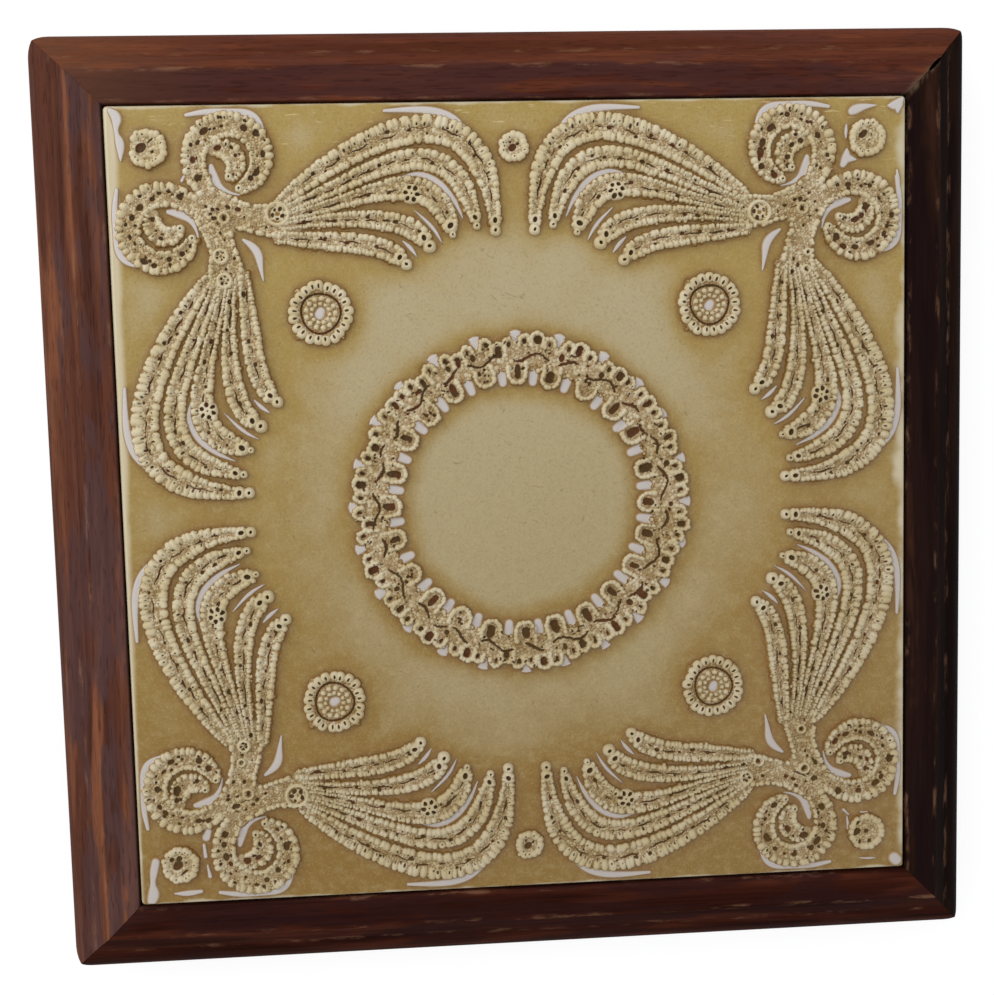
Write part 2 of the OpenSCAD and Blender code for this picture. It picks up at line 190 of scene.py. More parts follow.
class Recipe:  # a material and the nodes that make it
    def __init__(self, name):
        self.material = bpy.data.materials.new(name)
        self.material.use_nodes = True
        self.tree = self.material.node_tree
        self.place = self.add("TexCoord", output="Object")

    def add(self, kind, inputs=None, output=0, **settings):
        node = self.tree.nodes.new("ShaderNode" + kind)
        for name, value in settings.items():
            setattr(node, name, value)
        for name, value in (inputs or {}).items():
            self.plug(node.inputs[name], value)
        return Wire(self, node.outputs[output])

    def plug(self, socket, value):
        if isinstance(value, Wire):
            self.tree.links.new(value.socket, socket)
        else:
            socket.default_value = value

    def moved(self, scale=(1, 1, 1), shift=(0, 0, 0)):
        return self.add("Mapping", {"Vector": self.place, "Scale": scale, "Location": shift})

    def noise(self, vector, scale, detail, roughness, distortion=0.0):
        return self.add("TexNoise", {"Vector": vector, "Scale": scale, "Detail": detail, "Roughness": roughness,
                                     "Distortion": distortion})

    def mix(self, share, first, second):  # a colour is another mix, or red, green and blue from 0 to 255
        first, second = (colour if isinstance(colour, Wire) else rgb(*colour) for colour in (first, second))
        return self.add("Mix", {0: share, 6: first, 7: second}, 2, data_type="RGBA")

    def paint(self, ground, *layers):  # each layer is its share and its colour
        for share, colour in layers:
            ground = self.mix(share, ground, colour)
        return ground

    def plan(self):
        return [self.add("SeparateXYZ", {"Vector": self.place}, axis) for axis in (0, 1)]

    def attributes(self, *names):
        return [self.add("Attribute", output="Fac", attribute_name=name) for name in names]

    def finish(self, colour, bump=None, **sockets):  # bump is its height, strength and distance
        if bump:
            sockets["Normal"] = self.add("Bump", dict(zip(("Height", "Strength", "Distance"), bump)))
        for name, value in {"Base_Color": colour, **sockets}.items():
            self.plug(self.tree.nodes["Principled BSDF"].inputs[name.replace("_", " ")], value)
        return self.material


# Stage: floor, light and the camera at the photograph's viewing angle

stage = {
    "floorReach": 3.0, "floorShade": (0.86, 0.86, 0.87, 1), "floorGlow": 0.76, "glowLevel": 1.11,
    "skyLevel": 0.66, "skyColour": (0.98, 0.985, 1.0, 1),
    "keySize": 1.1, "keyPower": 9.0, "keyFrom": (-0.85, 0.6, 0.8),
    "fillSize": 1.2, "fillPower": 1.2, "fillFrom": (0.7, -0.5, 0.9),
}

view = {
    "imageSize": (994, 995), "focalLength": 1200.0, "centre": (434.8, 517.5), "sensor": 36.0,
    "from": (-30.03, 16.55, 229.59),  # above the middle of the rails' flat top
    "right": (0.99778, -0.02843, 0.06026), "up": (0.03318, 0.9963, -0.07928), "back": (-0.05778, 0.0811, 0.99503),
}


def makeFloor():  # shades as paper, but glows where the camera, a reflection or clear material sees it
    floor = added(bpy.ops.mesh.primitive_plane_add, size=stage["floorReach"])
    floor.name = "floor"
    recipe = Recipe("floorPaper")
    paper = recipe.add("BsdfDiffuse", {"Color": stage["floorShade"]})
    glow = recipe.add("Emission", {"Strength": stage["glowLevel"]})
    seen = sum(recipe.add("LightPath", output=ray) for ray in ("Is Camera Ray", "Is Glossy Ray", "Is Transmission Ray"))
    blend = recipe.add("MixShader", {0: seen.clamped() * stage["floorGlow"], 1: paper, 2: glow})
    recipe.plug(recipe.tree.nodes["Material Output"].inputs["Surface"], blend)
    floor.data.materials.append(recipe.material)


def makeLamp(name):
    start = stage[name + "From"]
    lamp = added(bpy.ops.object.light_add, type="AREA", location=start)
    lamp.name = name + "Lamp"
    lamp.data.size = stage[name + "Size"]
    lamp.data.energy = stage[name + "Power"]
    lamp.rotation_euler = (-Vector(start)).to_track_quat("-Z", "Y").to_euler()


def makeLight():
    world = bpy.data.worlds.new("studio")
    bpy.context.scene.world = world
    world.use_nodes = True
    sky = world.node_tree.nodes["Background"]
    sky.inputs["Color"].default_value = stage["skyColour"]
    sky.inputs["Strength"].default_value = stage["skyLevel"]
    makeLamp("key")
    makeLamp("fill")
    bpy.context.scene.view_settings.view_transform = "Standard"


def makeCamera():
    camera = added(bpy.ops.object.camera_add)
    wide, tall = view["imageSize"]
    longSide = max(wide, tall)
    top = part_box("rail_back")[1].z
    place = Vector(view["from"]) * mm + Vector((0, 0, top))
    axes = Matrix((view["right"], view["up"], view["back"])).transposed().to_4x4()
    camera.matrix_world = Matrix.Translation(place) @ axes
    camera.data.sensor_width = view["sensor"]
    camera.data.lens = view["focalLength"] / longSide * view["sensor"]
    camera.data.shift_x = (wide / 2 - view["centre"][0]) / longSide
    camera.data.shift_y = (view["centre"][1] - tall / 2) / longSide
    camera.data.clip_start = 0.01
    bpy.context.scene.camera = camera


# Wooden frame

rail = {
    "flat": 6.1, "bevel": 3.4, "bevelDrop": 3.1, "edge": 5.3, "edgeRadius": 7.2, "edgeSteps": 9,
    "rabbet": 4.6, "rabbetHeight": 4.2, "cornerRadius": 6.2, "arris": 0.28, "mitreArris": 0.09,
    "mitreGap": {"back_left": 0.015, "back_right": 0.04, "front_right": 0.02, "front_left": 0.05},
    "chip": (1.9, 0.42, 3.0), "chipReach": 5.3, "spare": 2, "pieces": 46,
}

railColoursAndLight = {  # dark vein, body, warm streak and plum smudge for each rail, its pattern's shift and its slope's painted light; the colours are partly each rail's own wood and partly painted light and shade, lighter on the left rail and darker on the right and front rails, as lit from the left
    "back": ((52, 25, 18), (84, 42, 31), (114, 62, 41), (70, 42, 40), 0.31, 0.4),
    "left": ((62, 36, 30), (98, 58, 44), (138, 86, 60), (84, 62, 62), 0.77, -0.2),
    "front": ((28, 10, 7), (59, 26, 17), (84, 42, 28), (46, 24, 23), 1.43, -0.3),
    "right": ((15, 8, 6), (35, 20, 15), (58, 35, 26), (28, 17, 17), 2.6, -0.6),
}

woodGrain = {  # each pattern's stretch along and across the rail, shares of the shift, detail, roughness, distortion
    "bands": (7, 330, (1, 3, 0), 4, 0.6, 0.5), "broad": (16, 190, (1, 0, 1), 3, 0.55, 0.6),
    "smudge": (34, 170, (0, 2, 1), 3, 0.6, 0.4), "fine": (60, 1700, (0, 1, 0), 3, 0.6, 0),
    "pores": (260, 2600, (1, 0, 0), 1, 0.5, 0), "rub": (120, 500, (0, 0, 1), 4, 0.7, 0),
}


def makeWood(side):
    vein, body, streak, plum, shift, paintedSlopeLight = railColoursAndLight[side]
    recipe = Recipe("wood_" + side)

    def pattern(along, across, shares, *settings):
        scale = (along, across, across) if side in ("back", "front") else (across, along, across)
        return recipe.noise(recipe.moved(scale, [shift * share for share in shares]), 1.0, *settings)

    bands, broad, smudge, fine, pores, rub = (pattern(*grain) for grain in woodGrain.values())
    x, y = recipe.plan()
    poreMask = pores.between(0.58, 0.68)
    reach = abs(x).greater(abs(y)) - openHalf * mm  # how far out from the opening
    inner = 1 - reach.between(5.4 * mm, 6.4 * mm)
    # painted light and shade on the sloping outer edge: lighter with the streak colour where the painted slope light is
    # above 0 (the back rail), darker with the vein colour where it is below 0
    paintedSlopeMask = reach.between(rail["flat"] * mm, (rail["flat"] + 0.8) * mm) * abs(paintedSlopeLight)
    layers = [(bands.between(0.3, 0.62), body), (broad.between(0.44, 0.64) * 0.9, streak),
              ((smudge + inner * 0.12).between(0.5, 0.62) * 0.75, plum), (paintedSlopeMask, streak if paintedSlopeLight > 0 else vein),
              (fine.between(0.35, 0.75) * 0.3, vein), (poreMask * 0.3, (26, 13, 11))]
    if side == "back":  # painted sheen: paler towards the left end
        layers.append(((x * -1).between(45 * mm, 100 * mm) * 0.35, (128, 88, 62)))
    worn = sum(1 - abs(reach - arris * mm).between(0.1 * mm, 0.8 * mm)
               for arris in (0.2, rail["flat"], rail["flat"] + rail["bevel"]))
    layers.append(((rub.between(0.5, 0.7) * worn).clamped() * 0.5, (136, 98, 74)))
    if side in ("back", "right"):  # pale filler along the joint that has opened
        joint = (1 - abs(x - y).between(0.2 * mm, 1.7 * mm)) * (1 - reach.between(5 * mm, 7 * mm))
        layers.append((joint * rub.between(0.35, 0.6) * 0.8, (104, 84, 66)))
    height = bands * 0.3 + fine * 0.3 - poreMask * 0.6
    return recipe.finish(recipe.paint(vein, *layers), (height, 0.25, 0.00015), Roughness=0.5 + rub * 0.2,
                         Specular_IOR_Level=0.01)


def railSection():  # across the back rail, from the opening outwards, then up: a closed outline in mm
    radius = rail["edgeRadius"]
    slopeEnd = rail["flat"] + rail["bevel"]
    width = slopeEnd + rail["edge"]
    arris = railHeight - rail["bevelDrop"]
    middle = width - radius
    level = arris - math.sqrt(radius ** 2 - (radius - rail["edge"]) ** 2)
    start = math.atan2(arris - level, slopeEnd - middle)
    outline = [(rail["rabbet"], 0), (rail["rabbet"], rail["rabbetHeight"]), (0, rail["rabbetHeight"]),
               (0, railHeight), (rail["flat"], railHeight)]
    for step in range(rail["edgeSteps"] + 1):
        angle = start * (1 - step / rail["edgeSteps"])
        outline.append((middle + radius * math.cos(angle), level + radius * math.sin(angle)))
    return outline + [(width, 0)]


def makeMoulding():  # an uncut length lying where the back rail goes
    outline = railSection()
    piece = added(bpy.ops.mesh.primitive_circle_add, vertices=len(outline), fill_type="NGON", radius=0.01)
    half = outerHalf + rail["spare"]
    writePoints(piece, [(-half * mm, (openHalf + y) * mm, (railLow + z) * mm) for y, z in outline])
    with editing(piece) as edit:
        edit.select_all(action="SELECT")
        for step in range(rail["pieces"]):
            edit.extrude_region_move(TRANSFORM_OT_translate={"value": (2 * half / rail["pieces"] * mm, 0, 0)})
    outwardFaces(piece)
    bevelEdges(piece, rail["arris"], 3, 22)
    return piece


def makeRail(moulding, side, turns, *ends):  # mitred as the back rail, then turned into place
    piece = copyPiece(moulding, "rail_" + side + "_wood")
    with editing(piece) as edit:
        for sign, corner in zip((-1, 1), ends):
            edit.select_all(action="SELECT")
            edit.bisect(plane_co=(0, rail["mitreGap"][corner] * math.sqrt(2) * mm, 0), plane_no=(sign, -1, 0),
                        use_fill=True, clear_outer=True)
    outwardFaces(piece)
    roundOuterCorners(piece)
    if "back_right" in ends:
        chipMitre(piece, -1 if ends[0] == "back_right" else 1)
    bevelEdges(piece, rail["mitreArris"], 2, 50)
    piece.rotation_euler = (0, 0, math.radians(90 * turns))
    applyPlace(piece)
    smoothShade(piece, 40)
    finishPiece(piece, piece.name, makeWood(side), ["rail_" + side])


def roundOuterCorners(piece):
    cutter = added(bpy.ops.mesh.primitive_cube_add, size=1, location=(0, 0, railLow * mm))
    cutter.scale = (2 * outerHalf * mm, 2 * outerHalf * mm, 4 * railHeight * mm)
    applyPlace(cutter)
    points = readPoints(cutter)
    with editing(cutter) as edit:
        edit.select_mode(type="EDGE")
        edit.select_all(action="DESELECT")
    for edge in cutter.data.edges:  # the four upright ones
        first, second = points[edge.vertices[0]], points[edge.vertices[1]]
        edge.select = abs(first[2] - second[2]) > mm
    with editing(cutter) as edit:
        edit.bevel(offset=rail["cornerRadius"] * mm, segments=10)
        edit.select_mode(type="VERT")
    cutBy(cutter, piece, "INTERSECT")


def chipMitre(piece, end):  # the joint has opened halfway along
    reach = openHalf + rail["chipReach"]
    cutter = added(bpy.ops.mesh.primitive_uv_sphere_add, segments=16, ring_count=8, radius=1,
                   location=(end * reach * mm, reach * mm, (railLow + railHeight - 1) * mm))
    cutter.scale = [size * mm for size in rail["chip"]]
    cutter.rotation_euler = (0, 0, end * math.radians(45))
    applyPlace(cutter)
    cutBy(cutter, piece, "DIFFERENCE")


# Raised lace-like ornament, pressed into grids of heights

lace = {
    "cell": 0.16, "floor": -0.5, "cutBelow": -0.3, "sunk": 0.6, "footing": 0.05, "top": 1.22, "edge": 0.15,
    "squareness": 2.4, "netTop": 0.5, "netInset": 0.25, "grain": 0.58, "pitFloor": 0.34, "beadFoot": 0.5,
    "poolTop": 0.32, "poolSpread": 1.25,
}

layout = {  # shares of half the tile's width, for the right half of the back edge
    "hub": 0.722, "fieldRosette": 0.489, "cornerRosette": 0.895, "edgeRosette": 0.886,
    "fingerHalf": 2.7, "fingerSwell": 0.22, "curlHalf": 2.4, "hookHalf": 2.3,
    "curlMiddle": (0.698, 0.868), "curlStart": 0.088, "curlEnd": 0.075, "curlAngle": -18, "curlTurn": 272,
    "stem": [(0.755, 0.782), (0.763, 0.802), (0.775, 0.820), (0.7853, 0.8397)],
    "curlWidths": [0.80, 0.92, 1.02, 1.08, 1.08, 1.04, 1.02, 1.00, 0.94, 0.78, 0.48],
    "hookMiddle": (0.7195, 0.8555), "hookRadius": 0.0365, "hookAngle": 64, "hookTurn": 176,
    "hookWidths": [0.62, 0.86, 0.96, 0.84, 0.52],
    "curlBeads": ((1.1, 0.36), (0.8, 0.22)), "hookBeads": ((0.85, 0.32), (0.75, 0.34)),  # as for the fingers
}

spans = {  # the stretch of the tile in mm that each relief's grid covers
    "plume": ((1.5, 42.5), (50.5, 75.5)), "curl": ((44.0, 57.0), (64.2, 75.5)), "hub": ((43.0, 43.0), (75.4, 75.4)),
    "wreath": ((-34.4, -34.4), (34.4, 34.4)),
}

seeds = {"wreath": 71, "plume": 100, "curl": 200, "hub": 300, "fieldRosette": 400, "cornerRosette": 500,
         "edgeRosette": 600}

fingers = [  # centre line, half widths as shares, then outer and inner border beads: pitch in mm and share of width
    {"line": [(0.585, 0.757), (0.553, 0.784), (0.053, 1.186), (0.049, 0.675)],
     "widths": [0.26, 0.54, 0.76, 0.92, 0.96, 0.90, 0.58],
     "outer": (1.2, 0.42), "inner": (1.1, 0.32), "tip": 1.25, "drop": 1.1, "crease": 0.05},
    {"line": [(0.580, 0.738), (0.369, 0.811), (0.145, 0.995), (0.094, 0.686)],
     "widths": [0.24, 0.42, 0.58, 0.70, 0.74, 0.72, 0.50],
     "outer": (1.1, 0.38), "inner": (1.1, 0.38), "tip": 1.15, "drop": 0.8, "crease": 0.0},
    {"line": [(0.580, 0.722), (0.362, 0.758), (0.195, 0.883), (0.153, 0.661)],
     "widths": [0.22, 0.34, 0.50, 0.74, 0.85, 0.80, 0.52],
     "outer": (0.95, 0.28), "inner": (1.05, 0.34), "tip": 1.45, "drop": 0.7, "crease": 0.1},
    {"line": [(0.580, 0.700), (0.435, 0.725), (0.244, 0.735), (0.212, 0.640)],
     "widths": [0.22, 0.32, 0.46, 0.60, 0.68, 0.66, 0.50],
     "outer": (1.05, 0.36), "inner": (0.95, 0.34), "tip": 1.3, "drop": 1.3, "crease": 0.0},
    {"line": [(0.590, 0.676), (0.422, 0.657), (0.316, 0.669), (0.269, 0.598)],
     "widths": [0.34, 0.52, 0.64, 0.68, 0.66, 0.60, 0.46],
     "outer": (1.0, 0.34), "inner": (0.95, 0.34), "tip": 1.2, "drop": 1.15, "crease": 0.0},
]

root = {"line": [(42.6, 54.3), (44.5, 54.4), (47.0, 54.5), (49.9, 55.0)], "halves": [3.3, 3.5, 3.1, 2.7]}

bosses = {  # rings at the plumes' roots, which differ from corner to corner: middle and radius in mm
    ("back_left", "x"): [(44.5, 55.6, 2.4)], ("back_left", "y"): [(43.5, 54.8, 1.6), (48.0, 55.3, 1.6)],
    ("back_right", "x"): [(46.9, 54.3, 2.4)], ("back_right", "y"): [(43.3, 55.9, 1.1), (46.6, 56.3, 0.9)],
    ("front_left", "x"): [(45.0, 55.2, 2.4)], ("front_left", "y"): [(45.0, 54.8, 1.4), (48.2, 55.4, 1.0)],
    ("front_right", "x"): [(43.5, 55.7, 1.5), (46.0, 52.5, 1.2)], ("front_right", "y"): [(46.4, 54.6, 1.1)],
}

plumeReflectionPools = [  # glassy pools beside the fingers, pale with a painted reflection: points along the middle in mm, then half widths
    ([(8.3, 70.4), (11.0, 72.9), (14.5, 74.1), (18.5, 74.4), (24.0, 74.2)], [0.15, 0.6, 0.75, 0.62, 0.3]),
    ([(9.8, 54.2), (11.4, 57.8), (14.2, 61.2), (18.0, 62.8), (21.4, 62.0)], [0.12, 0.5, 0.62, 0.5, 0.1]),
    ([(13.8, 49.6), (15.4, 52.6), (18.9, 55.9)], [0.08, 0.45, 0.1]),
    ([(18.7, 47.3), (19.8, 48.9), (21.2, 50.2)], [0.1, 0.5, 0.15]),
]

# glassy pools beside the curl and the hook, pale with a painted reflection
curlReflectionPools = [
    ([(46.3, 70.6), (47.4, 73.0), (49.3, 74.2), (52.5, 74.5), (57.0, 74.5), (60.6, 73.9)],
     [0.12, 0.6, 0.75, 0.5, 0.6, 0.35]),
    ([(56.4, 64.6), (56.0, 62.4), (55.1, 60.7), (53.4, 59.7), (51.2, 59.2)], [0.45, 0.95, 0.7, 0.35, 0.12]),
]

cornerReflectionPools = {  # each corner's own glassy pools, pale with a painted reflection
    "back_left": [
        ([(74.4, 74.9), (73.2, 73.7), (73.5, 71.9), (73.4, 70.6), (72.8, 68.9), (72.9, 65.8)],
         [0.5, 1.1, 0.5, 0.35, 1.0, 0.15]),
        ([(61.3, 68.0), (61.2, 66.8), (61.1, 65.4)], [0.2, 0.5, 0.25]), ([(61.4, 62.9), (61.9, 62.0)], [0.25, 0.3])],
    "back_right": [
        ([(75.0, 75.2), (74.2, 74.3), (73.4, 73.9), (72.2, 73.9)], [0.35, 0.9, 0.9, 0.15]),
        ([(74.2, 74.2), (74.1, 72.6)], [1.0, 0.2]),
        ([(69.9, 74.0), (67.5, 73.8), (65.8, 73.3), (65.1, 72.9)], [0.15, 0.6, 1.0, 0.7]),
        ([(64.1, 70.5), (64.0, 69.2), (64.0, 68.0)], [0.15, 0.4, 0.15]),
        ([(64.2, 65.9), (64.1, 64.4), (63.4, 63.0)], [0.2, 0.95, 0.6]), ([(64.2, 64.2), (66.0, 63.9)], [0.9, 0.15]),
        ([(74.0, 61.8), (74.2, 60.0), (74.4, 58.2)], [0.2, 0.45, 0.2])],
    "front_left": [
        ([(73.8, 74.9), (73.3, 73.6), (73.5, 71.6), (73.2, 69.3), (72.7, 67.3)], [0.9, 1.2, 0.4, 0.8, 0.8]),
        ([(69.4, 73.7), (67.0, 73.8), (64.2, 73.5)], [0.12, 0.65, 0.35]), ([(63.3, 64.3), (63.1, 66.6)], [0.3, 0.4]),
        ([(62.8, 68.4), (62.4, 70.6)], [0.2, 0.4]), ([(62.3, 61.6), (62.8, 62.8)], [0.6, 0.8])],
    "front_right": [
        ([(74.2, 74.2), (73.8, 73.8)], [1.15, 1.15]), ([(66.7, 73.5), (68.4, 73.6), (70.0, 73.6)], [0.1, 0.28, 0.1]),
        ([(64.5, 69.2), (64.4, 67.0), (64.1, 64.8)], [0.12, 0.42, 0.15]), ([(63.4, 63.4), (64.4, 64.4)], [0.3, 0.2]),
        ([(66.9, 64.1), (68.2, 64.1)], [0.12, 0.22])],
}

innerReflectionPool = ([(51.0, 51.0), (49.4, 49.9), (48.3, 48.4), (48.0, 45.8), (47.6, 43.4)], [0.3, 0.7, 0.85, 0.45, 0.15])



def bezierPoint(points, t):
    a, b, c, d = (np.array(p, float) for p in points)
    return (1 - t) ** 3 * a + 3 * (1 - t) ** 2 * t * b + 3 * (1 - t) * t * t * c + t ** 3 * d


def valueAlong(values, t):
    return float(np.interp(t * (len(values) - 1), range(len(values)), values))


def polar(radius, degrees):  # clockwise from the back
    return radius * np.array([math.sin(math.radians(degrees)), math.cos(math.radians(degrees))])


def around(middle, radius, degrees):  # anticlockwise from the right
    angle = math.radians(degrees)
    return np.array(middle, float) + radius * np.array([math.cos(angle), math.sin(angle)])


class Line:  # a middle line sampled evenly, with its heading, left side and half width at each sample
    def __init__(self, points, halves, step=0.1):
        points = np.array(points, float)
        gaps = np.linalg.norm(np.diff(points, axis=0), axis=1)
        along = np.concatenate([[0], np.cumsum(gaps)])
        self.length = along[-1]
        self.s = np.linspace(0, self.length, max(4, int(self.length / step)))
        self.at = np.stack([np.interp(self.s, along, points[:, k]) for k in (0, 1)], 1)
        self.half = np.interp(self.s, along, halves)
        heading = np.gradient(self.at, axis=0)
        self.heading = heading / np.linalg.norm(heading, axis=1)[:, None]
        self.left = np.stack([-self.heading[:, 1], self.heading[:, 0]], 1)

    def index(self, s):
        return int(np.clip(s / self.length * (len(self.s) - 1), 0, len(self.s) - 1))

    def upTo(self, index):
        return Line(self.at[:index], self.half[:index])


def fingerLine(finger):
    shares = np.linspace(0, 1, 90)
    points = [bezierPoint(finger["line"], t) * tileHalf for t in shares]
    halves = [valueAlong(finger["widths"], t) * layout["fingerHalf"] + layout["fingerSwell"] for t in shares]
    neat = np.clip((shares - 0.88) / 0.1, 0, 1)  # the last stretch takes the tip ring's width
    return Line(points, np.array(halves) * (1 - neat) + finger["tip"] * neat)


def turnPoint(kind, radius, t):
    angle = layout[kind + "Angle"] + layout[kind + "Turn"] * t
    return around(np.array(layout[kind + "Middle"], float) * tileHalf, radius * tileHalf, angle)


def widthsAlong(kind, shares):
    return [valueAlong(layout[kind + "Widths"], t) * layout[kind + "Half"] for t in shares]


def curlLine():
    stem = [bezierPoint(layout["stem"], t) * tileHalf for t in np.linspace(0, 1, 12)[:-1]]
    narrowing = layout["curlEnd"] - layout["curlStart"]
    turn = [turnPoint("curl", layout["curlStart"] + narrowing * t, t) for t in np.linspace(0, 1, 60)]
    shares = list(np.linspace(0, 1 / 6, 12)[:-1]) + list(np.linspace(1 / 6, 1, 60))
    return Line(stem + turn, widthsAlong("curl", shares))


def hookLine():
    shares = np.linspace(0, 1, 40)
    return Line([turnPoint("hook", layout["hookRadius"], t) for t in shares], widthsAlong("hook", shares))


class Relief:  # a grid of heights in mm over a stretch of the tile
    def __init__(self, low, high, seed, across=((1, 0), (0, 1))):
        self.across = np.array(across, float)  # turns the drawn half of the back edge into this corner
        ends = np.array([self.across @ np.array(p, float) for p in (low, high)])
        self.low, high = ends.min(0), ends.max(0)
        self.columns, self.rows = (int(round(span / lace["cell"])) for span in high - self.low)
        self.x = self.low[0] + np.arange(self.columns + 1) * lace["cell"]
        self.y = self.low[1] + np.arange(self.rows + 1) * lace["cell"]
        self.height = np.full((self.rows + 1, self.columns + 1), lace["floor"])
        self.slip, self.pitted, self.pool = (np.zeros(self.height.shape) for _ in range(3))
        self.chance = np.random.default_rng(seed)
        self.vary = self.chance.uniform

    def local(self, at, heading, reach):  # the part of the grid near a point, and its distances along and across
        at = self.across @ np.array(at, float)
        heading = self.across @ np.array(heading, float)
        first = np.clip(((at - reach - self.low) / lace["cell"]).astype(int), 0, None)
        last = ((at + reach - self.low) / lace["cell"]).astype(int) + 2
        rows, columns = slice(first[1], max(last[1], 0)), slice(first[0], max(last[0], 0))
        dx = self.x[columns][None, :] - at[0]
        dy = self.y[rows][:, None] - at[1]
        return (rows, columns), dx * heading[0] + dy * heading[1], dy * heading[0] - dx * heading[1]

    def dome(self, at, heading, long, wide, top, power=4.2, base=0.0, tone=1.0, fused=0.0):
        place, along, side = self.local(at, heading, 1.4 * max(long, wide))
        square = lace["squareness"]
        q = (np.abs(along / long) ** square + np.abs(side / wide) ** square) ** (1 / square)
        shape = base + (top - base) * (1 - q ** power)
        raised = shape > self.height[place]
        slip = tone * np.clip(fused + (1 - q) * min(long, wide) / lace["edge"], 0, 1)
        for field, values in ((self.height, shape), (self.slip, slip), (self.pitted, 0)):
            field[place] = np.where(raised, values, field[place])

    def pit(self, at, heading, long, wide, depth, paint=1.0):
        place, along, side = self.local(at, heading, 1.5 * max(long, wide))
        q = np.sqrt((along / long) ** 2 + (side / wide) ** 2)
        dug = self.height[place] - depth * np.clip(2 - 1.6 * q, 0, 1)
        self.height[place] = np.maximum(dug, np.minimum(self.height[place], lace["pitFloor"]))
        self.pitted[place] = np.maximum(self.pitted[place], paint * np.clip((1.3 - q) * 2.5, 0, 1))

    def ring(self, at, radius, hole, top):
        self.dome(at, (1, 0), radius, radius, top)
        turn = self.vary(0, math.pi)
        self.pit(at, (math.cos(turn), math.sin(turn)), hole * 1.15, hole * 0.85, top * 0.6)

    def band(self, line, inset=lace["netInset"], stride=2):  # the low body of a finger, without its border beads
        for i in range(0, len(line.s), stride):
            half = line.half[i] - inset
            if half > 0.12:
                self.dome(line.at[i], (1, 0), half, half, lace["netTop"], power=8, tone=0.42)

    def stroke(self, points, halves, top=lace["poolTop"]):  # a glassy pool: a low meniscus, and the mask for its pale painted reflection
        path = np.column_stack([np.array(points, float), halves])
        for turn in range(3):  # cuts the corners of the middle line
            cut = np.stack([0.75 * path[:-1] + 0.25 * path[1:], 0.25 * path[:-1] + 0.75 * path[1:]], 1).reshape(-1, 3)
            path = np.vstack([path[:1], cut, path[-1:]])
        line = Line(path[:, :2], path[:, 2] * lace["poolSpread"], 0.12)
        for at, half in zip(line.at, line.half):
            place, along, side = self.local(at, (1, 0), half * 1.6)
            q = np.hypot(along, side) / half
            free = self.height[place] < lace["footing"] + top
            for field, values in ((self.height, top * (1 - q ** 4)), (self.pool, np.clip(1 - q, 0, 1))):
                field[place] = np.where(free, np.maximum(field[place], values), field[place])


def borderBeads(relief, line, side, pitch, share, top=lace["top"], start=0.0, end=0.0, holes=True):
    s = start
    vary = relief.vary
    while s < line.length - end:
        narrow = np.clip(line.half[line.index(s)] / 1.9, 0.5, 1.0)
        step = pitch * narrow * vary(0.72, 1.24)
        i = line.index(s + step / 2)
        half = line.half[i]
        length = max(0.30, share * half * vary(0.8, 1.12))
        out = line.left[i] * side + line.heading[i] * vary(-0.22, 0.22)
        at = line.at[i] + out * (half - length + vary(-0.16, 0.04))
        relief.dome(at, out, length, step * vary(0.52, 0.6), top * vary(0.86, 1.03), power=3.0,
                    base=lace["beadFoot"], tone=vary(0.86, 1), fused=0.3)
        if holes and length > 0.42 and relief.chance.random() < (0.8 if share > 0.4 else 0.42):
            size = vary(0.1, 0.27) * min(1, length)
            relief.pit(at - out * length * vary(0.3, 0.9), out, size * vary(1.2, 1.9), size, 0.35, vary(0.5, 1))
        s += step


def crease(relief, line, offset, start, end):  # broken dark line along a finger
    s = line.length * start
    vary = relief.vary
    while s < line.length * end:
        run = vary(1.2, 5.0)
        drift = vary(-0.12, 0.12)
        wide = vary(0.10, 0.24)
        for p in np.arange(s, min(s + run, line.length * end), 0.2):
            i = line.index(p)
            swing = offset + drift + 0.05 * math.sin(p * 2.1)
            swell = math.sin(math.pi * min(1, (p - s + 0.1) / run)) ** 0.5
            at = line.at[i] + line.left[i] * line.half[i] * swing
            relief.pit(at, line.heading[i], 0.22, wide * swell, 0.13, 0.8)
        s += run + vary(0.4, 2.2)


def scatterPits(relief, line, spacing, size, spread, start=0.05, end=0.95):
    s = line.length * start
    vary = relief.vary
    while s < line.length * end:
        i = line.index(s)
        offset = vary(-spread, spread) * line.half[i]
        width = size * vary(0.45, 1.2)
        relief.pit(line.at[i] + line.left[i] * offset, line.heading[i], width * vary(1, 1.6), width, 0.55)
        s += spacing * vary(0.5, 1.5)


def netting(relief, line, spread=0.8, tone=1.0, scale=1.0):  # rows of small grains between the borders
    vary = relief.vary
    spacing = lace["grain"] * scale
    for number, s in enumerate(np.arange(0, line.length, spacing * 0.95)):
        i = line.index(s)
        reach = line.half[i] * spread
        for offset in np.arange(-reach, reach + 0.01, spacing):
            offset += spacing / 2 * (number % 2) + vary(-0.12, 0.12)
            at = line.at[i] + line.left[i] * offset + line.heading[i] * vary(-0.12, 0.12)
            size = vary(0.2, 0.4) * scale
            relief.dome(at, line.heading[i], size * vary(0.9, 1.3), size, lace["netTop"] + vary(0.05, 0.32),
                        power=2.2, base=lace["netTop"] - 0.05, tone=tone * vary(0.35, 0.9))


def drawBody(relief, line):
    relief.band(line)
    netting(relief, line)


def drawFinger(relief, finger):
    line = fingerLine(finger)
    tip, drop, top = finger["tip"], finger["drop"], lace["top"]
    tail = tip * 1.6
    drawBody(relief, line.upTo(line.index(line.length - tail)))
    for side, (pitch, share) in ((-1, finger["outer"]), (1, finger["inner"])):
        borderBeads(relief, line, side, pitch, share, top, 0.2, tail)
    crease(relief, line, finger["crease"], 0.1, 0.9)
    scatterPits(relief, line, 4.2, 0.3, 0.35, 0.15, 0.9)
    end = line.length - tip * 0.95
    i, j = line.index(end - tip * 0.9), line.index(end)
    relief.ring(line.at[i], tip, tip * 0.36, top)
    relief.ring(line.at[j] + line.heading[j] * (drop * 0.55), drop, drop * 0.25, top * 0.95)


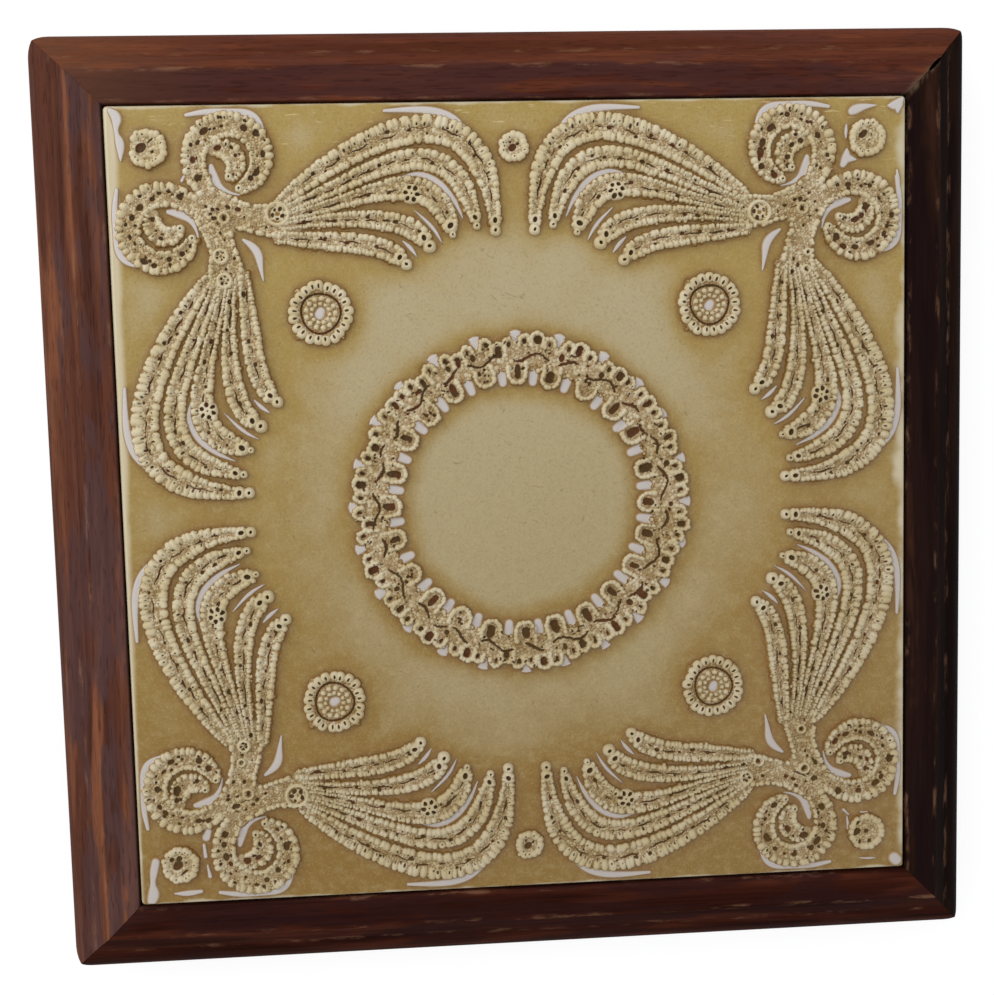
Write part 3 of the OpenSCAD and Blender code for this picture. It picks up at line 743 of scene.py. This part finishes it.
def drawBoss(relief, middle, radius):  # a ring round a floor of brown cells
    vary = relief.vary
    large = radius > 1.3
    relief.dome(middle, (1, 0), radius + 0.25, radius + 0.25, 0.6, power=8, tone=0.1)
    for angle in np.arange(0, 360, 15) if large else ():
        relief.dome(around(middle, radius * 0.36, angle), (1, 0), radius * 0.3, radius * 0.3, 0.75, power=3, tone=0.8)
    rim = 0.4 if large else 0.32
    for angle in np.arange(0, 360, 26 / radius):
        relief.dome(around(middle, radius - rim, angle), (1, 0), rim, rim, lace["top"] * vary(0.94, 1.0))
    turn = vary(0, 360)
    for k in range(5) if large else ():
        at = around(middle, radius * vary(0.36, 0.48), turn + 72 * k + vary(-12, 12))
        size = vary(0.2, 0.34) * radius / 2.4
        relief.pit(at, polar(1, turn * k), size * 1.5, size * 1.1, 0.3)
    if not large:
        relief.pit(middle, polar(1, turn), radius * 0.34, radius * 0.26, 0.2)


flower = {"middle": (19.4, 58.9), "radius": 1.95, "pits": 6, "reach": 1.18}


def drawFlower(relief):  # a small one with pits, on the middle finger's crest
    vary, middle = relief.vary, flower["middle"]
    relief.dome(middle, (1, 0), flower["radius"], flower["radius"], lace["top"] * 0.85, power=6, tone=0.85)
    for k in range(flower["pits"]):
        out = around((0, 0), 1, 360 / flower["pits"] * k + 10)
        at = np.array(middle) + flower["reach"] * out
        relief.pit(at, out, vary(0.34, 0.5), vary(0.28, 0.42), 0.6)
        relief.pit(at + vary(-0.25, 0.25, 2), (1, 0), 0.32, 0.24, 0.4)
    relief.pit(middle, (1, 0), 0.16, 0.16, 0.3)


def cornerTurn(corner, swapped=False):
    mirror = np.diag(corners[corner]).astype(float)
    return mirror @ np.array([[0, 1], [1, 0]], float) if swapped else mirror


corners = {"front_left": (-1, -1), "front_right": (1, -1), "back_left": (-1, 1), "back_right": (1, 1)}
drawn = []  # every relief, for the glaze's halo on the tile


def withoutPinches(keep):  # drops grid points where two squares would touch by one corner only
    while True:
        squares = np.pad(keep[:-1, :-1] & keep[1:, :-1] & keep[:-1, 1:] & keep[1:, 1:], 1)
        a, b, c, d = squares[:-1, :-1], squares[:-1, 1:], squares[1:, :-1], squares[1:, 1:]
        pinched = (a & d & ~b & ~c) | (b & c & ~a & ~d)
        if not pinched.any():
            return keep
        keep = keep & ~pinched


def closeBelow(piece):  # drops the selected ground, then walls and floors what is left
    with editing(piece) as edit:
        edit.delete(type="VERT")
        edit.select_all(action="SELECT")
        edit.delete_loose()
        edit.select_mode(type="EDGE")
        edit.select_non_manifold()
        edit.extrude_region_move(TRANSFORM_OT_translate={"value": (0, 0, -0.2 * mm)})
    chosen = np.zeros(len(piece.data.vertices), bool)
    piece.data.vertices.foreach_get("select", chosen)
    points = readPoints(piece)
    points[chosen, 2] = (faceLevel - lace["sunk"]) * mm
    writePoints(piece, points)
    with editing(piece) as edit:
        edit.fill(use_beauty=False)
        edit.select_mode(type="VERT")
        edit.select_all(action="SELECT")
        edit.normals_make_consistent(inside=False)


def makeRelief(relief, node):
    wide, tall = relief.columns * lace["cell"], relief.rows * lace["cell"]
    middle = ((relief.low[0] + wide / 2) * mm, (relief.low[1] + tall / 2) * mm, faceLevel * mm)
    piece = added(bpy.ops.mesh.primitive_grid_add, x_subdivisions=relief.columns, y_subdivisions=relief.rows, size=1,
                  location=middle)
    piece.scale = (wide * mm, tall * mm, 1)
    applyPlace(piece)
    points = readPoints(piece)
    column, row = (np.rint((points[:, k] / mm - relief.low[k]) / lace["cell"]).astype(int) for k in (0, 1))
    points[:, 2] = (faceLevel + np.clip(relief.height[row, column], lace["floor"], reliefTop)) * mm
    writePoints(piece, points)
    writeFields(piece, slip=relief.slip[row, column], pit=relief.pitted[row, column], pool=relief.pool[row, column])
    near = relief.height > lace["cutBelow"]
    keep = near.copy()
    for axis in (0, 1):
        for step in (-1, 1):
            keep |= np.roll(near, step, axis)
    selectVertices(piece, ~withoutPinches(keep)[row, column])
    closeBelow(piece)
    smoothShade(piece)
    finishPiece(piece, node + "_lace", laceGlaze, [node])
    drawn.append((relief, relief.height > lace["footing"]))


def makePlume(corner, axis, seed):
    relief = Relief(*spans["plume"], seed, cornerTurn(corner, axis == "y"))
    neck = Line(root["line"], root["halves"])
    drawBody(relief, neck)
    for side in (-1, 1):
        borderBeads(relief, neck, side, 0.9, 0.16, start=1.0, holes=False)
    for finger in fingers:
        drawFinger(relief, finger)
    scatterPits(relief, neck, 1.2, 0.3, 0.6)
    drawFlower(relief)
    for x, y, radius in bosses[corner, axis]:
        drawBoss(relief, (x, y), radius)
    for pool in plumeReflectionPools:
        relief.stroke(*pool)
    makeRelief(relief, f"plume_{axis}_{corner}")


def makeCurl(corner, axis, seed):
    relief = Relief(*spans["curl"], seed, cornerTurn(corner, axis == "y"))
    for line, (outer, inner) in ((curlLine(), layout["curlBeads"]), (hookLine(), layout["hookBeads"])):
        drawBody(relief, line)
        borderBeads(relief, line, -1, *outer, lace["top"], 0.3, 0.4)
        borderBeads(relief, line, 1, *inner, lace["top"] * 0.95, 0.3, 0.4)
        scatterPits(relief, line, 2.9, 0.52, 0.3, 0.1, 0.97)
        scatterPits(relief, line, 1.7, 0.26, 0.55, 0.1, 0.97)
        relief.ring(line.at[-1], 0.8, 0.2, lace["top"])
    for pool in curlReflectionPools:
        relief.stroke(*pool)
    makeRelief(relief, f"curl_{axis}_{corner}")


hubArm = {"line": [(49.6, 55.1), (52.2, 55.6), (55.8, 57.4), (57.8, 60.2)], "halves": [2.7, 2.9, 2.9, 2.4]}


def makeHub(corner, seed):
    relief = Relief(*spans["hub"], seed, cornerTurn(corner))
    hub = np.array([layout["hub"], layout["hub"]]) * tileHalf
    arm = np.array(hubArm["line"])
    arms = [Line(arm, hubArm["halves"]), Line(arm[:, ::-1], hubArm["halves"])]
    parts = arms + [Line([hub, hub + 3.2], [3.4, 3.0])]
    for part in parts:
        drawBody(relief, part)
    for arm, inner in zip(arms, (-1, 1)):
        edge = arm.upTo(len(arm.at) * 2 // 3)
        for side in (1, -1):
            borderBeads(relief, edge, side, 0.9, 0.18, start=0.2, end=4.5 if side == inner else 0.2, holes=False)
    for part in parts:
        scatterPits(relief, part, 1.5, 0.34, 0.5, 0, 1)
    crease(relief, Line([hub - (2, 0), hub + (2.4, 2.2)], [1, 1]), 0, 0.1, 0.9)
    drawBoss(relief, hub + relief.vary(-0.6, 0.6, 2), 1.25)
    for pool in cornerReflectionPools[corner] + [innerReflectionPool]:
        relief.stroke(*pool)
    makeRelief(relief, f"hub_{corner}")


# Wreath of petals

wreath = {
    "outer": 33.0, "inner": 22.6, "lobes": 24, "middle": 28.3, "half": 2.7, "petalStart": 26.7, "rim": 0.43,
    "fanTurn": 4.3, "fanHalf": 1.4, "leadHalf": 1.6, "wave": (28.0, 0.8), "specks": 300,
}


def drawPetal(relief, start, out, length, half, hole):  # a U of slip, open at its start, round a brown floor
    vary, rim = relief.vary, wreath["rim"]
    side = np.array([out[1], -out[0]])
    middle = start + out * (length - half)
    relief.band(Line([start, middle], [half * 0.9, half]), 0.1)
    netting(relief, Line([start - out * 0.3, middle + out * half * 0.5], [half * 0.9, half * 0.7]), 0.9, 0.8)
    bend = [middle + side * (rim - half) * math.cos(a) + out * (half - rim) * math.sin(a)
            for a in np.linspace(0, math.pi, 12)]
    path = [start + side * (rim - half)] + bend + [start + side * (half - rim)]
    line = Line(path, [rim] * len(path))
    s = 0
    while s < line.length:
        i = line.index(s)
        size = rim * vary(0.85, 1.3)
        step = vary(0.5, 0.95)
        relief.dome(line.at[i] + line.left[i] * vary(-0.1, 0.16), line.left[i], size, step * 0.72,
                    lace["top"] * vary(0.86, 1.02), power=3.0, base=0.6, tone=vary(0.82, 1), fused=0.25)
        s += step
    if hole:
        long, wide = hole
        at = middle - out * long * 0.4 + side * vary(-0.2, 0.2)
        relief.pit(at, out + side * vary(-0.4, 0.4), long, wide, 0.3)
        relief.pit(at + out * long * 0.7, side, wide * 1.1, wide * 0.7, 0.2, 0.8)


def drawOuterPetals(relief, fan):  # two side petals, then the leading one
    vary = relief.vary
    lead = vary(-0.8, 0.1) if relief.chance.random() < 0.75 else -1.6
    for turn in (-wreath["fanTurn"], wreath["fanTurn"], 0):
        out = polar(1, fan + turn + vary(-0.4, 0.4))
        tip = wreath["outer"] + 0.35 + (-0.7 if turn else lead) - vary(0, 0.7)
        hole = (0.45, vary(0.2, 0.4)) if turn else (vary(0.6, 1.2), vary(0.4, 0.7))
        half = wreath["fanHalf"] if turn else wreath["leadHalf"]
        length = half * (1.5 if turn else 1.9)
        drawPetal(relief, out * (tip - length), out, length, half, hole)


def drawInnerPetal(relief, angle):
    vary = relief.vary
    out = polar(1, angle)
    start, tip = wreath["petalStart"], wreath["inner"] + vary(-0.3, 0.4)
    hole = (vary(0.9, 1.4), vary(0.48, 0.78)) if relief.chance.random() < 0.75 else None
    drawPetal(relief, out * start, -out, start - tip, vary(1.95, 2.3), hole)
    if not hole:
        for _ in range(5):
            at = out * (tip + vary(1.2, 4)) + polar(1, angle + 90) * vary(-0.9, 0.9)
            relief.pit(at, out, vary(0.2, 0.4), vary(0.2, 0.35), 0.3)
    if relief.chance.random() < 0.5:
        at = polar(vary(28.2, 29.6), angle + vary(-4, 4))
        relief.pit(at, out, vary(0.4, 0.8), vary(0.35, 0.6), 0.35)


def drawWreathReflectionPools(relief, angle, waist):  # glassy pools, pale with a painted reflection, between the inner petals, then between the outer ones
    relief.stroke([polar(reach, waist) for reach in (23.4, 24.8, 26.4)], [0.8, 1.0, 0.75], 0.3)
    rise, outer = relief.vary(0.75, 1.1), wreath["outer"]
    relief.stroke([polar(outer - 2.2, angle), polar(outer - 0.8, angle)], [0.3, rise])
    relief.stroke([polar(outer - 0.2, angle - 1.7), polar(outer - 0.5, angle), polar(outer - 0.2, angle + 1.7)],
                  [0.1, rise * 0.7, 0.1])


def makeWreath():
    relief = Relief(*spans["wreath"], seeds["wreath"])
    vary, pitch = relief.vary, 360 / wreath["lobes"]
    ringBand = Line([polar(wreath["middle"], a) for a in range(0, 361, 3)], [wreath["half"]] * 121)
    relief.band(ringBand, 0, 3)
    netting(relief, ringBand, 0.95, 0.88, 1.3)
    for k in range(wreath["lobes"]):
        angle = k * pitch + vary(-1, 1)
        drawOuterPetals(relief, angle + pitch / 2 + vary(-0.6, 0.6))
        drawInnerPetal(relief, angle)
        drawWreathReflectionPools(relief, angle, angle + pitch / 2)
    middle, height = wreath["wave"]
    for angle in np.arange(0, 360, 0.6):  # a dark line that waves round the ring, broken in places
        reach = middle + height * math.cos(math.radians((angle - 7.5) * wreath["lobes"])) + vary(-0.1, 0.1)
        swell = math.sin(math.radians(angle * 23)) + math.sin(math.radians(angle * 37 + 50))
        if swell > -0.5:
            relief.pit(polar(reach, angle), polar(1, angle + 90), 0.3, 0.2 + 0.07 * swell, 0.2, 0.9)
    for _ in range(wreath["specks"]):
        at = polar(vary(25.2, 31.6), vary(0, 360))
        relief.pit(at, polar(1, vary(0, 360)), vary(0.15, 0.42), vary(0.1, 0.26), 0.25, vary(0.6, 1))
    makeRelief(relief, "wreath")


# Rosettes

fieldRosette = {"radius": 6.3, "body": 5.4, "net": 4.6, "beads": 21, "groove": 3.7, "hollow": 1.25}

beadRings = ((13, 6, 2.75, 0.55, 0.52, 0.85), (11, 0, 1.75, 0.42, 0.4, 0.8))  # count, turn, reach, size, size, height

rosetteHoles = {  # across and up from the middle, then half lengths
    "back_left": [(-1.2, 0.1, 1.0, 0.75), (-0.8, 0.4, 0.6, 0.5), (0.9, -0.6, 0.3, 0.22), (0.6, 1.4, 0.7, 0.16)],
    "back_right": [(-0.8, 0.6, 0.8, 0.55), (-0.4, 1.0, 0.5, 0.4), (0.5, -0.4, 0.2, 0.16), (0.9, 0.5, 0.16, 0.14)],
    "front_left": [(-0.5, -0.1, 1.0, 0.75), (-0.2, 1.2, 0.6, 0.5), (-1.6, 1.1, 0.45, 0.4), (0.7, -1.5, 0.8, 0.22),
                   (1.2, 0.4, 0.2, 0.16)],
    "front_right": [(-2.0, 0.0, 0.8, 0.62), (0.0, 0.1, 0.45, 0.4), (-1.8, 2.0, 0.42, 0.36), (-1.4, -2.0, 0.4, 0.32),
                    (0.6, -1.9, 0.4, 0.34)],
    "edge": [(-0.3, -0.2, 0.75, 0.6), (0.7, 0.5, 0.3, 0.25), (-0.7, 0.8, 0.25, 0.2)],
}


def roundNet(relief, middle, half, *settings):
    netting(relief, Line([middle - (half, 0), middle + (half, 0)], [half, half]), 1, *settings)


def makeFieldRosette(corner, seed):
    sideX, sideY = corners[corner]
    middle = np.array([sideX, sideY]) * layout["fieldRosette"] * tileHalf
    relief = Relief(middle - 7, middle + 7, seed)
    vary = relief.vary
    relief.dome(middle, (1, 0), fieldRosette["body"], fieldRosette["body"], lace["netTop"], power=12, tone=0.3)
    roundNet(relief, middle, fieldRosette["net"], 0.7)
    for k in range(fieldRosette["beads"]):
        out = polar(1, (k + vary(-0.15, 0.15)) * 360 / fieldRosette["beads"])
        reach = fieldRosette["radius"] - vary(0, 0.4)
        long = vary(0.85, 1.05)
        relief.dome(middle + out * (reach - long), out, long, 0.9, lace["top"] * vary(0.92, 1), power=3.0,
                    base=lace["beadFoot"], fused=0.2)
        relief.pit(middle + out * (reach - long * 1.3), out, 0.42, 0.2, 0.4, 0.95)
    for angle in np.arange(0, 360, 4):
        reach = fieldRosette["groove"] + 0.12 * math.sin(math.radians(angle * 3 + 40 * seed))
        relief.pit(middle + polar(reach, angle), polar(1, angle + 90), 0.3, 0.2, 0.2, 0.95)
    for count, turn, reach, long, wide, height in beadRings:
        for k in range(count):
            relief.dome(middle + polar(reach, k * 360 / count + turn), (1, 0), long, wide, lace["top"] * height)
    hollow, along, side = relief.local(middle, (1, 0), 1.7)
    inside = np.hypot(along, side) < fieldRosette["hollow"]
    relief.height[hollow] = np.where(inside, np.minimum(relief.height[hollow], 0.35), relief.height[hollow])
    # a glassy pool in the hollow, pale with a painted reflection
    relief.stroke([middle - vary(0, 0.4, 2), middle + vary(0, 0.4, 2)], [0.95, 0.8], 0.5)
    makeRelief(relief, f"rosette_{corner}")


def makeSmallRosette(node, middle, radius, beads, holes, seed, opening=None):
    relief = Relief(middle - radius - 0.7, middle + radius + 0.7, seed)
    vary = relief.vary
    relief.dome(middle, (1, 0), radius - 0.5, radius - 0.5, lace["netTop"], power=10, tone=0.5)
    roundNet(relief, middle, radius * 0.62, 1.1, 1.1)
    for k in range(beads):
        angle = (k + vary(-0.2, 0.2)) * 360 / beads
        out = polar(1, angle)
        reach = radius - vary(0, 0.35)
        if opening and abs(angle - opening) < 16:
            continue
        relief.dome(middle + out * (reach - 0.66), out, 0.7, vary(0.55, 0.75), lace["top"] * vary(0.86, 1),
                    power=3.0, base=0.62, tone=vary(0.86, 1), fused=0.4)
        if relief.chance.random() < 0.4:
            relief.pit(middle + out * (reach - 0.9), out, 0.18, 0.12, 0.3)
    for dx, dy, long, wide in holes:
        relief.pit(middle + (dx, dy), (0.8, 0.6), long, wide, 0.35)
    makeRelief(relief, node)


# Square tile with a cushioned edge under pooled glaze

tile = {
    "columns": 270, "edgeRadius": 0.7, "cornerRadius": 0.8, "raster": 0.25,
    "meniscus": 0.18, "waviness": 0.05, "blurs": (2, 9, 28),
}


def boxBlur(field, radius):
    span = 2 * radius + 1
    for turn in range(3):
        for axis in (0, 1):
            pad = [(radius + 1, radius) if a == axis else (0, 0) for a in (0, 1)]
            total = np.cumsum(np.pad(field, pad, mode="edge"), axis)
            high = np.take(total, np.arange(span, total.shape[axis]), axis)
            low = np.take(total, np.arange(0, total.shape[axis] - span), axis)
            field = (high - low) / span
    return field


def haloFields():  # how near each spot of the tile is to the relief: its footprint, blurred over three distances
    count = int(2 * tileHalf / tile["raster"]) + 1
    mask = np.zeros((count, count))
    for relief, raised in drawn:
        rows, columns = np.nonzero(raised)
        x, y = (np.clip(((values + tileHalf) / tile["raster"]).astype(int), 0, count - 1)
                for values in (relief.x[columns], relief.y[rows]))
        mask[y, x] = 1
    return [boxBlur(mask, radius) for radius in tile["blurs"]]


def tilePlan(share):  # an even grid from -1 to 1 drawn to the tile's rounded plan in mm, and how far in each point is
    plan = (share + 0.25 * (share - share ** 3)) * tileHalf
    corner = tileHalf - tile["cornerRadius"]
    over = np.clip(np.abs(plan) - corner, 0, None)
    beyond = np.hypot(over[:, 0], over[:, 1])
    furthest = np.maximum(over[:, 0], over[:, 1])
    both = (over[:, 0] > 0) & (over[:, 1] > 0)
    squeeze = np.where(both, furthest / np.maximum(beyond, 1e-9), 1)
    plan = np.sign(plan) * (np.minimum(np.abs(plan), corner) + over * squeeze[:, None])
    return plan, np.where(beyond > 0, tile["cornerRadius"] - np.where(both, furthest, beyond), 99)


def makeTile():
    piece = added(bpy.ops.mesh.primitive_grid_add, x_subdivisions=tile["columns"], y_subdivisions=tile["columns"],
                  size=2)
    plan, rim = tilePlan(readPoints(piece)[:, :2])
    x, y = plan[:, 0], plan[:, 1]
    radius = tile["edgeRadius"]
    dip = np.clip(radius - rim, 0, radius)
    drop = radius - np.sqrt(np.maximum(radius ** 2 - dip ** 2, 0))
    fields = haloFields()
    spot = np.clip(((plan + tileHalf) / tile["raster"]).astype(int), 0, len(fields[0]) - 1)
    near, halo, wide = (field[spot[:, 1], spot[:, 0]] for field in fields)
    wave = tile["waviness"] * (np.sin(x / 7.3 + 1) * np.sin(y / 8.9 + 2))
    height = faceLevel - drop + (near * tile["meniscus"] + wave - tile["waviness"]) * (drop < 0.01)
    writePoints(piece, np.column_stack([plan * mm, height * mm]))
    toSides = np.minimum(x + tileHalf, (tileHalf - x) * 0.35)  # the right edge counts as nearer, which widens the painted reflection there
    toEnds = np.minimum(tileHalf - y, y + tileHalf)
    writeFields(piece, near=near, halo=halo, wide=wide, rim=np.clip(np.minimum(toSides, toEnds) / 3, 0, 1))
    with editing(piece) as edit:
        edit.select_all(action="DESELECT")
        edit.select_mode(type="EDGE")
        edit.select_non_manifold()
        edit.extrude_region_move(TRANSFORM_OT_translate={"value": (0, 0, -(tileThick - radius) * mm)})
        edit.edge_face_add()
        edit.select_mode(type="VERT")
    smoothShade(piece, 50)
    finishPiece(piece, "tile_glazed", makeTileGlaze(), ["tile"])


def makeTileGlaze():
    recipe = Recipe("tileGlaze")
    half = tileHalf * mm
    halo, wide, near, rim = recipe.attributes("halo", "wide", "near", "rim")
    cloud = recipe.noise(recipe.moved((60, 60, 60)), 1.0, 4, 0.6)
    speckle = recipe.noise(recipe.place, 2200.0, 2, 0.8)
    mottle = recipe.noise(recipe.place, 420.0, 3, 0.65)
    drift = recipe.noise(recipe.moved((14, 14, 14), (3, 1, 0)), 1.0, 1, 0.5)
    broken = recipe.noise(recipe.place, 130.0, 2, 0.6) * 0.7
    x, y = recipe.plan()
    edge = (abs(x).greater(abs(y)) / half).between(0.9, 1.0)
    # painted light: the glaze lighter towards the back and the left, darker towards the front and the right
    paintedLight = ((y - x * 0.1) / half).between(-1.3, 1.05)
    radius = (x * x + y * y) ** 0.5
    # more amber beyond the wreath, deepened by painted shade towards the front and the right; less amber inside the
    # disc
    outside = radius.between(36 * mm, 46 * mm) * (0.5 - paintedLight * 0.4) - (1 - radius.between(14 * mm, 21 * mm)) * 0.45
    beside = abs(x).between(26 * mm, 38 * mm) * (1 - abs(x).between(44 * mm, 58 * mm)) * 0.36
    amber = (halo * 1.7 + wide * 0.85 + edge * 0.7 + outside + beside + (cloud - 0.5) * 1.5).between(0.1, 1.15)
    # shaded and lit copies of the deep and the pale glaze, mixed by the painted light
    deep = recipe.mix(paintedLight, (130, 97, 34), (168, 141, 75))
    pale = recipe.mix(paintedLight, (152, 132, 88), (182, 167, 130))
    bend = recipe.noise(recipe.moved((80, 80, 80), (1, 4, 0)), 1.0, 3, 0.6, 1.2)
    hair = (1 - abs(bend - 0.5).between(0, 0.007)) * mottle.between(0.52, 0.6)
    fleck = recipe.noise(recipe.moved((160, 1100, 1)), 1.0, 3, 0.7).between(0.62, 0.7)
    band = (y / half + 1) * (1.1 * mm) + broken * (1.5 * mm) - x - half  # painted reflection: a creamy band along the left edge, wider at the back
    colour = recipe.paint(
        pale, (amber, deep), (halo.between(0.1, 0.6) * 0.4, (128, 91, 37)),
        (near.between(0.05, 0.5) * 0.5, (122, 82, 34)), (drift.between(0.5, 0.8) * 0.3, (150, 132, 74)),
        (mottle.between(0.42, 0.75) * 0.22, (184, 166, 118)),
        (speckle.between(0.5, 0.75) * 0.2, (198, 182, 136)), ((1 - speckle).between(0.5, 0.75) * 0.3, (116, 90, 44)),
        (hair * 0.4, (104, 80, 42)), (fleck * y.between(60 * mm, 72 * mm) * 0.55, (220, 196, 150)),
        # painted reflection: milky cream near the tile's edges
        ((1 - (rim + broken).between(0.36, 0.6)) * 0.8, (204, 194, 166)),
        (band.between(-0.3 * mm, 1.1 * mm) * 0.85, (209, 197, 165)))
    return recipe.finish(colour, (speckle + cloud, 0.12, 0.00015), Roughness=0.26 + speckle * 0.1, Coat_Weight=0.2,
                         Coat_Roughness=0.12, Specular_IOR_Level=0.35)


def makeLaceGlaze():
    recipe = Recipe("laceGlaze")
    slip, pit, pool = recipe.attributes("slip", "pit", "pool")
    cells = recipe.add("TexVoronoi", {"Vector": recipe.place, "Scale": 2100.0}, feature="DISTANCE_TO_EDGE")
    tint = recipe.noise(recipe.moved((160, 160, 160)), 1.0, 2, 0.6)
    fine = recipe.noise(recipe.place, 3200.0, 2, 0.6)
    x, y = recipe.plan()
    net = slip - (1 - cells.between(0.0, 0.16)) * 0.15
    # painted light: the lace lighter towards the back and the left; the colour's last layer below is painted shade
    # towards the front and the right
    paintedLight = ((y * 0.75 - x * 0.4) / (tileHalf * mm)).between(-1.15, 1.15)
    cream = recipe.mix(tint.between(0.35, 0.7), (206, 189, 148), (220, 208, 177))
    low = recipe.mix(tint.between(0.4, 0.65), (130, 95, 46), (148, 112, 60))
    dark = recipe.mix(tint.between(0.5, 0.62), (68, 46, 24), (80, 38, 18))
    # where a pool lies: an amber fringe, then its pale painted reflection
    colour = recipe.paint(low, (net.between(0.0, 0.8), cream), (pit.between(0.25, 0.8) * 0.95, dark),
                          (pool.between(0.0, 0.06), (160, 124, 66)), (pool.between(0.05, 0.5), (206, 199, 194)),
                          ((1 - paintedLight) * 0.3, (98, 72, 28)))
    height = cells.between(0.0, 0.25) * 0.6 + fine * 0.3
    return recipe.finish(colour, (height, 0.25, 0.00012), Roughness=0.5 + pit * 0.4 - pool * 0.3,
                         Coat_Weight=0.02 + pool * 0.38, Coat_Roughness=0.2, Specular_IOR_Level=0.1)


# Underside and inner pieces

pad = {"sides": 48, "rim": 1.2, "grooveWidth": 0.3, "grooveDepth": 0.2, "bevel": 0.35}


def makeHardboard():
    recipe = Recipe("hardboard")
    fibres = recipe.noise(recipe.place, 900.0, 5, 0.7)
    mottle = recipe.noise(recipe.place, 60.0, 3, 0.6)
    colour = recipe.paint((84, 56, 34), (fibres.between(0.3, 0.7), (134, 96, 60)),
                          (mottle.between(0.4, 0.8) * 0.4, (104, 70, 42)))
    return recipe.finish(colour, (fibres, 0.4, 0.0002), Roughness=0.75 + fibres * 0.15)


def makeSteel():
    recipe = Recipe("pinSteel")
    scratch = recipe.noise(recipe.moved((900, 300, 900)), 1.0, 3, 0.6)
    rust = recipe.noise(recipe.place, 700.0, 4, 0.7).between(0.55, 0.75)
    return recipe.finish(recipe.mix(rust * 0.6, (168, 168, 170), (122, 84, 56)), Metallic=0.95 - rust * 0.5,
                         Roughness=0.3 + scratch * 0.3)


def makeAdhesive():
    recipe = Recipe("tileAdhesive")
    grit = recipe.noise(recipe.place, 1200.0, 4, 0.7)
    colour = recipe.mix(grit.between(0.3, 0.7), (196, 190, 176), (222, 217, 204))
    return recipe.finish(colour, (grit, 0.4, 0.0002), Roughness=0.9)


def makeRubber():
    recipe = Recipe("padRubber")
    dust = recipe.noise(recipe.place, 1500.0, 4, 0.7)
    scuff = recipe.noise(recipe.place, 260.0, 3, 0.6)
    colour = recipe.mix(dust.between(0.5, 0.8) * 0.5, (44, 40, 38), (86, 80, 74))
    return recipe.finish(colour, (dust, 0.25, 0.0001), Roughness=0.6 + scuff * 0.25)


def makePads():
    low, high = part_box("foot_front_left")
    model = added(bpy.ops.mesh.primitive_cylinder_add, vertices=pad["sides"], radius=(high.x - low.x) / 2,
                  depth=high.z - low.z)
    selectVertices(model, readPoints(model)[:, 2] < 0)
    with editing(model) as edit:
        edit.select_mode(type="VERT")
        edit.select_mode(type="FACE")
        edit.inset(thickness=pad["rim"] * mm)
        edit.inset(thickness=pad["grooveWidth"] * mm, depth=-pad["grooveDepth"] * mm)
        edit.select_mode(type="VERT")
    bevelEdges(model, pad["bevel"], 4, 60)
    smoothShade(model, 40)
    rubber = makeRubber()
    for corner in corners:
        low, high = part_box("foot_" + corner)
        piece = copyPiece(model, "pad_" + corner)
        piece.location = (low + high) / 2
        applyPlace(piece)
        finishPiece(piece, piece.name, rubber, ["foot_" + corner])
    bpy.data.objects.remove(model)


# Making everything

low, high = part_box("tile")
tileHalf = high.x / mm
faceLevel = high.z / mm
tileThick = (high.z - low.z) / mm
low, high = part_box("rail_back")
railLow, railHeight = low.z / mm, (high.z - low.z) / mm
openHalf, outerHalf = low.y / mm, high.y / mm
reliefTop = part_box("wreath")[1].z / mm - faceLevel

makeFloor()
makeLight()
makeCamera()
print("stage ready")

moulding = makeMoulding()
makeRail(moulding, "back", 0, "back_left", "back_right")
makeRail(moulding, "left", 1, "front_left", "back_left")
makeRail(moulding, "front", 2, "front_right", "front_left")
makeRail(moulding, "right", 3, "back_right", "front_right")
bpy.data.objects.remove(moulding)
print("frame ready")

laceGlaze = makeLaceGlaze()
makeWreath()
for number, corner in enumerate(corners):
    for swap, axis in enumerate("xy"):
        makePlume(corner, axis, seeds["plume"] + 2 * number + swap)
        makeCurl(corner, axis, seeds["curl"] + 2 * number + swap)
    makeHub(corner, seeds["hub"] + number)
    makeFieldRosette(corner, seeds["fieldRosette"] + number)
    place = np.array(corners[corner]) * layout["cornerRosette"] * tileHalf
    makeSmallRosette("corner_rosette_" + corner, place, 3.8, 20, rosetteHoles[corner], seeds["cornerRosette"] + number,
                     276 if corner == "back_left" else None)  # that one's rim has a gap at this angle
for number, (side, sign) in enumerate((("front", -1), ("back", 1))):
    place = np.array([0.1, sign * layout["edgeRosette"] * tileHalf])
    makeSmallRosette("edge_rosette_" + side, place, 3.0, 16, rosetteHoles["edge"], seeds["edgeRosette"] + number)
print("relief ready")

makeTile()
print("tile ready")

makePads()
steel = makeSteel()
dressed = {"corner_wedges": steel, "panel_pins": steel, "base_panel": makeHardboard(), "adhesive_dabs": makeAdhesive()}
for node, material in dressed.items():  # these keep the CAD's shapes
    setMaterial(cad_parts[node], material)
print("underside ready")
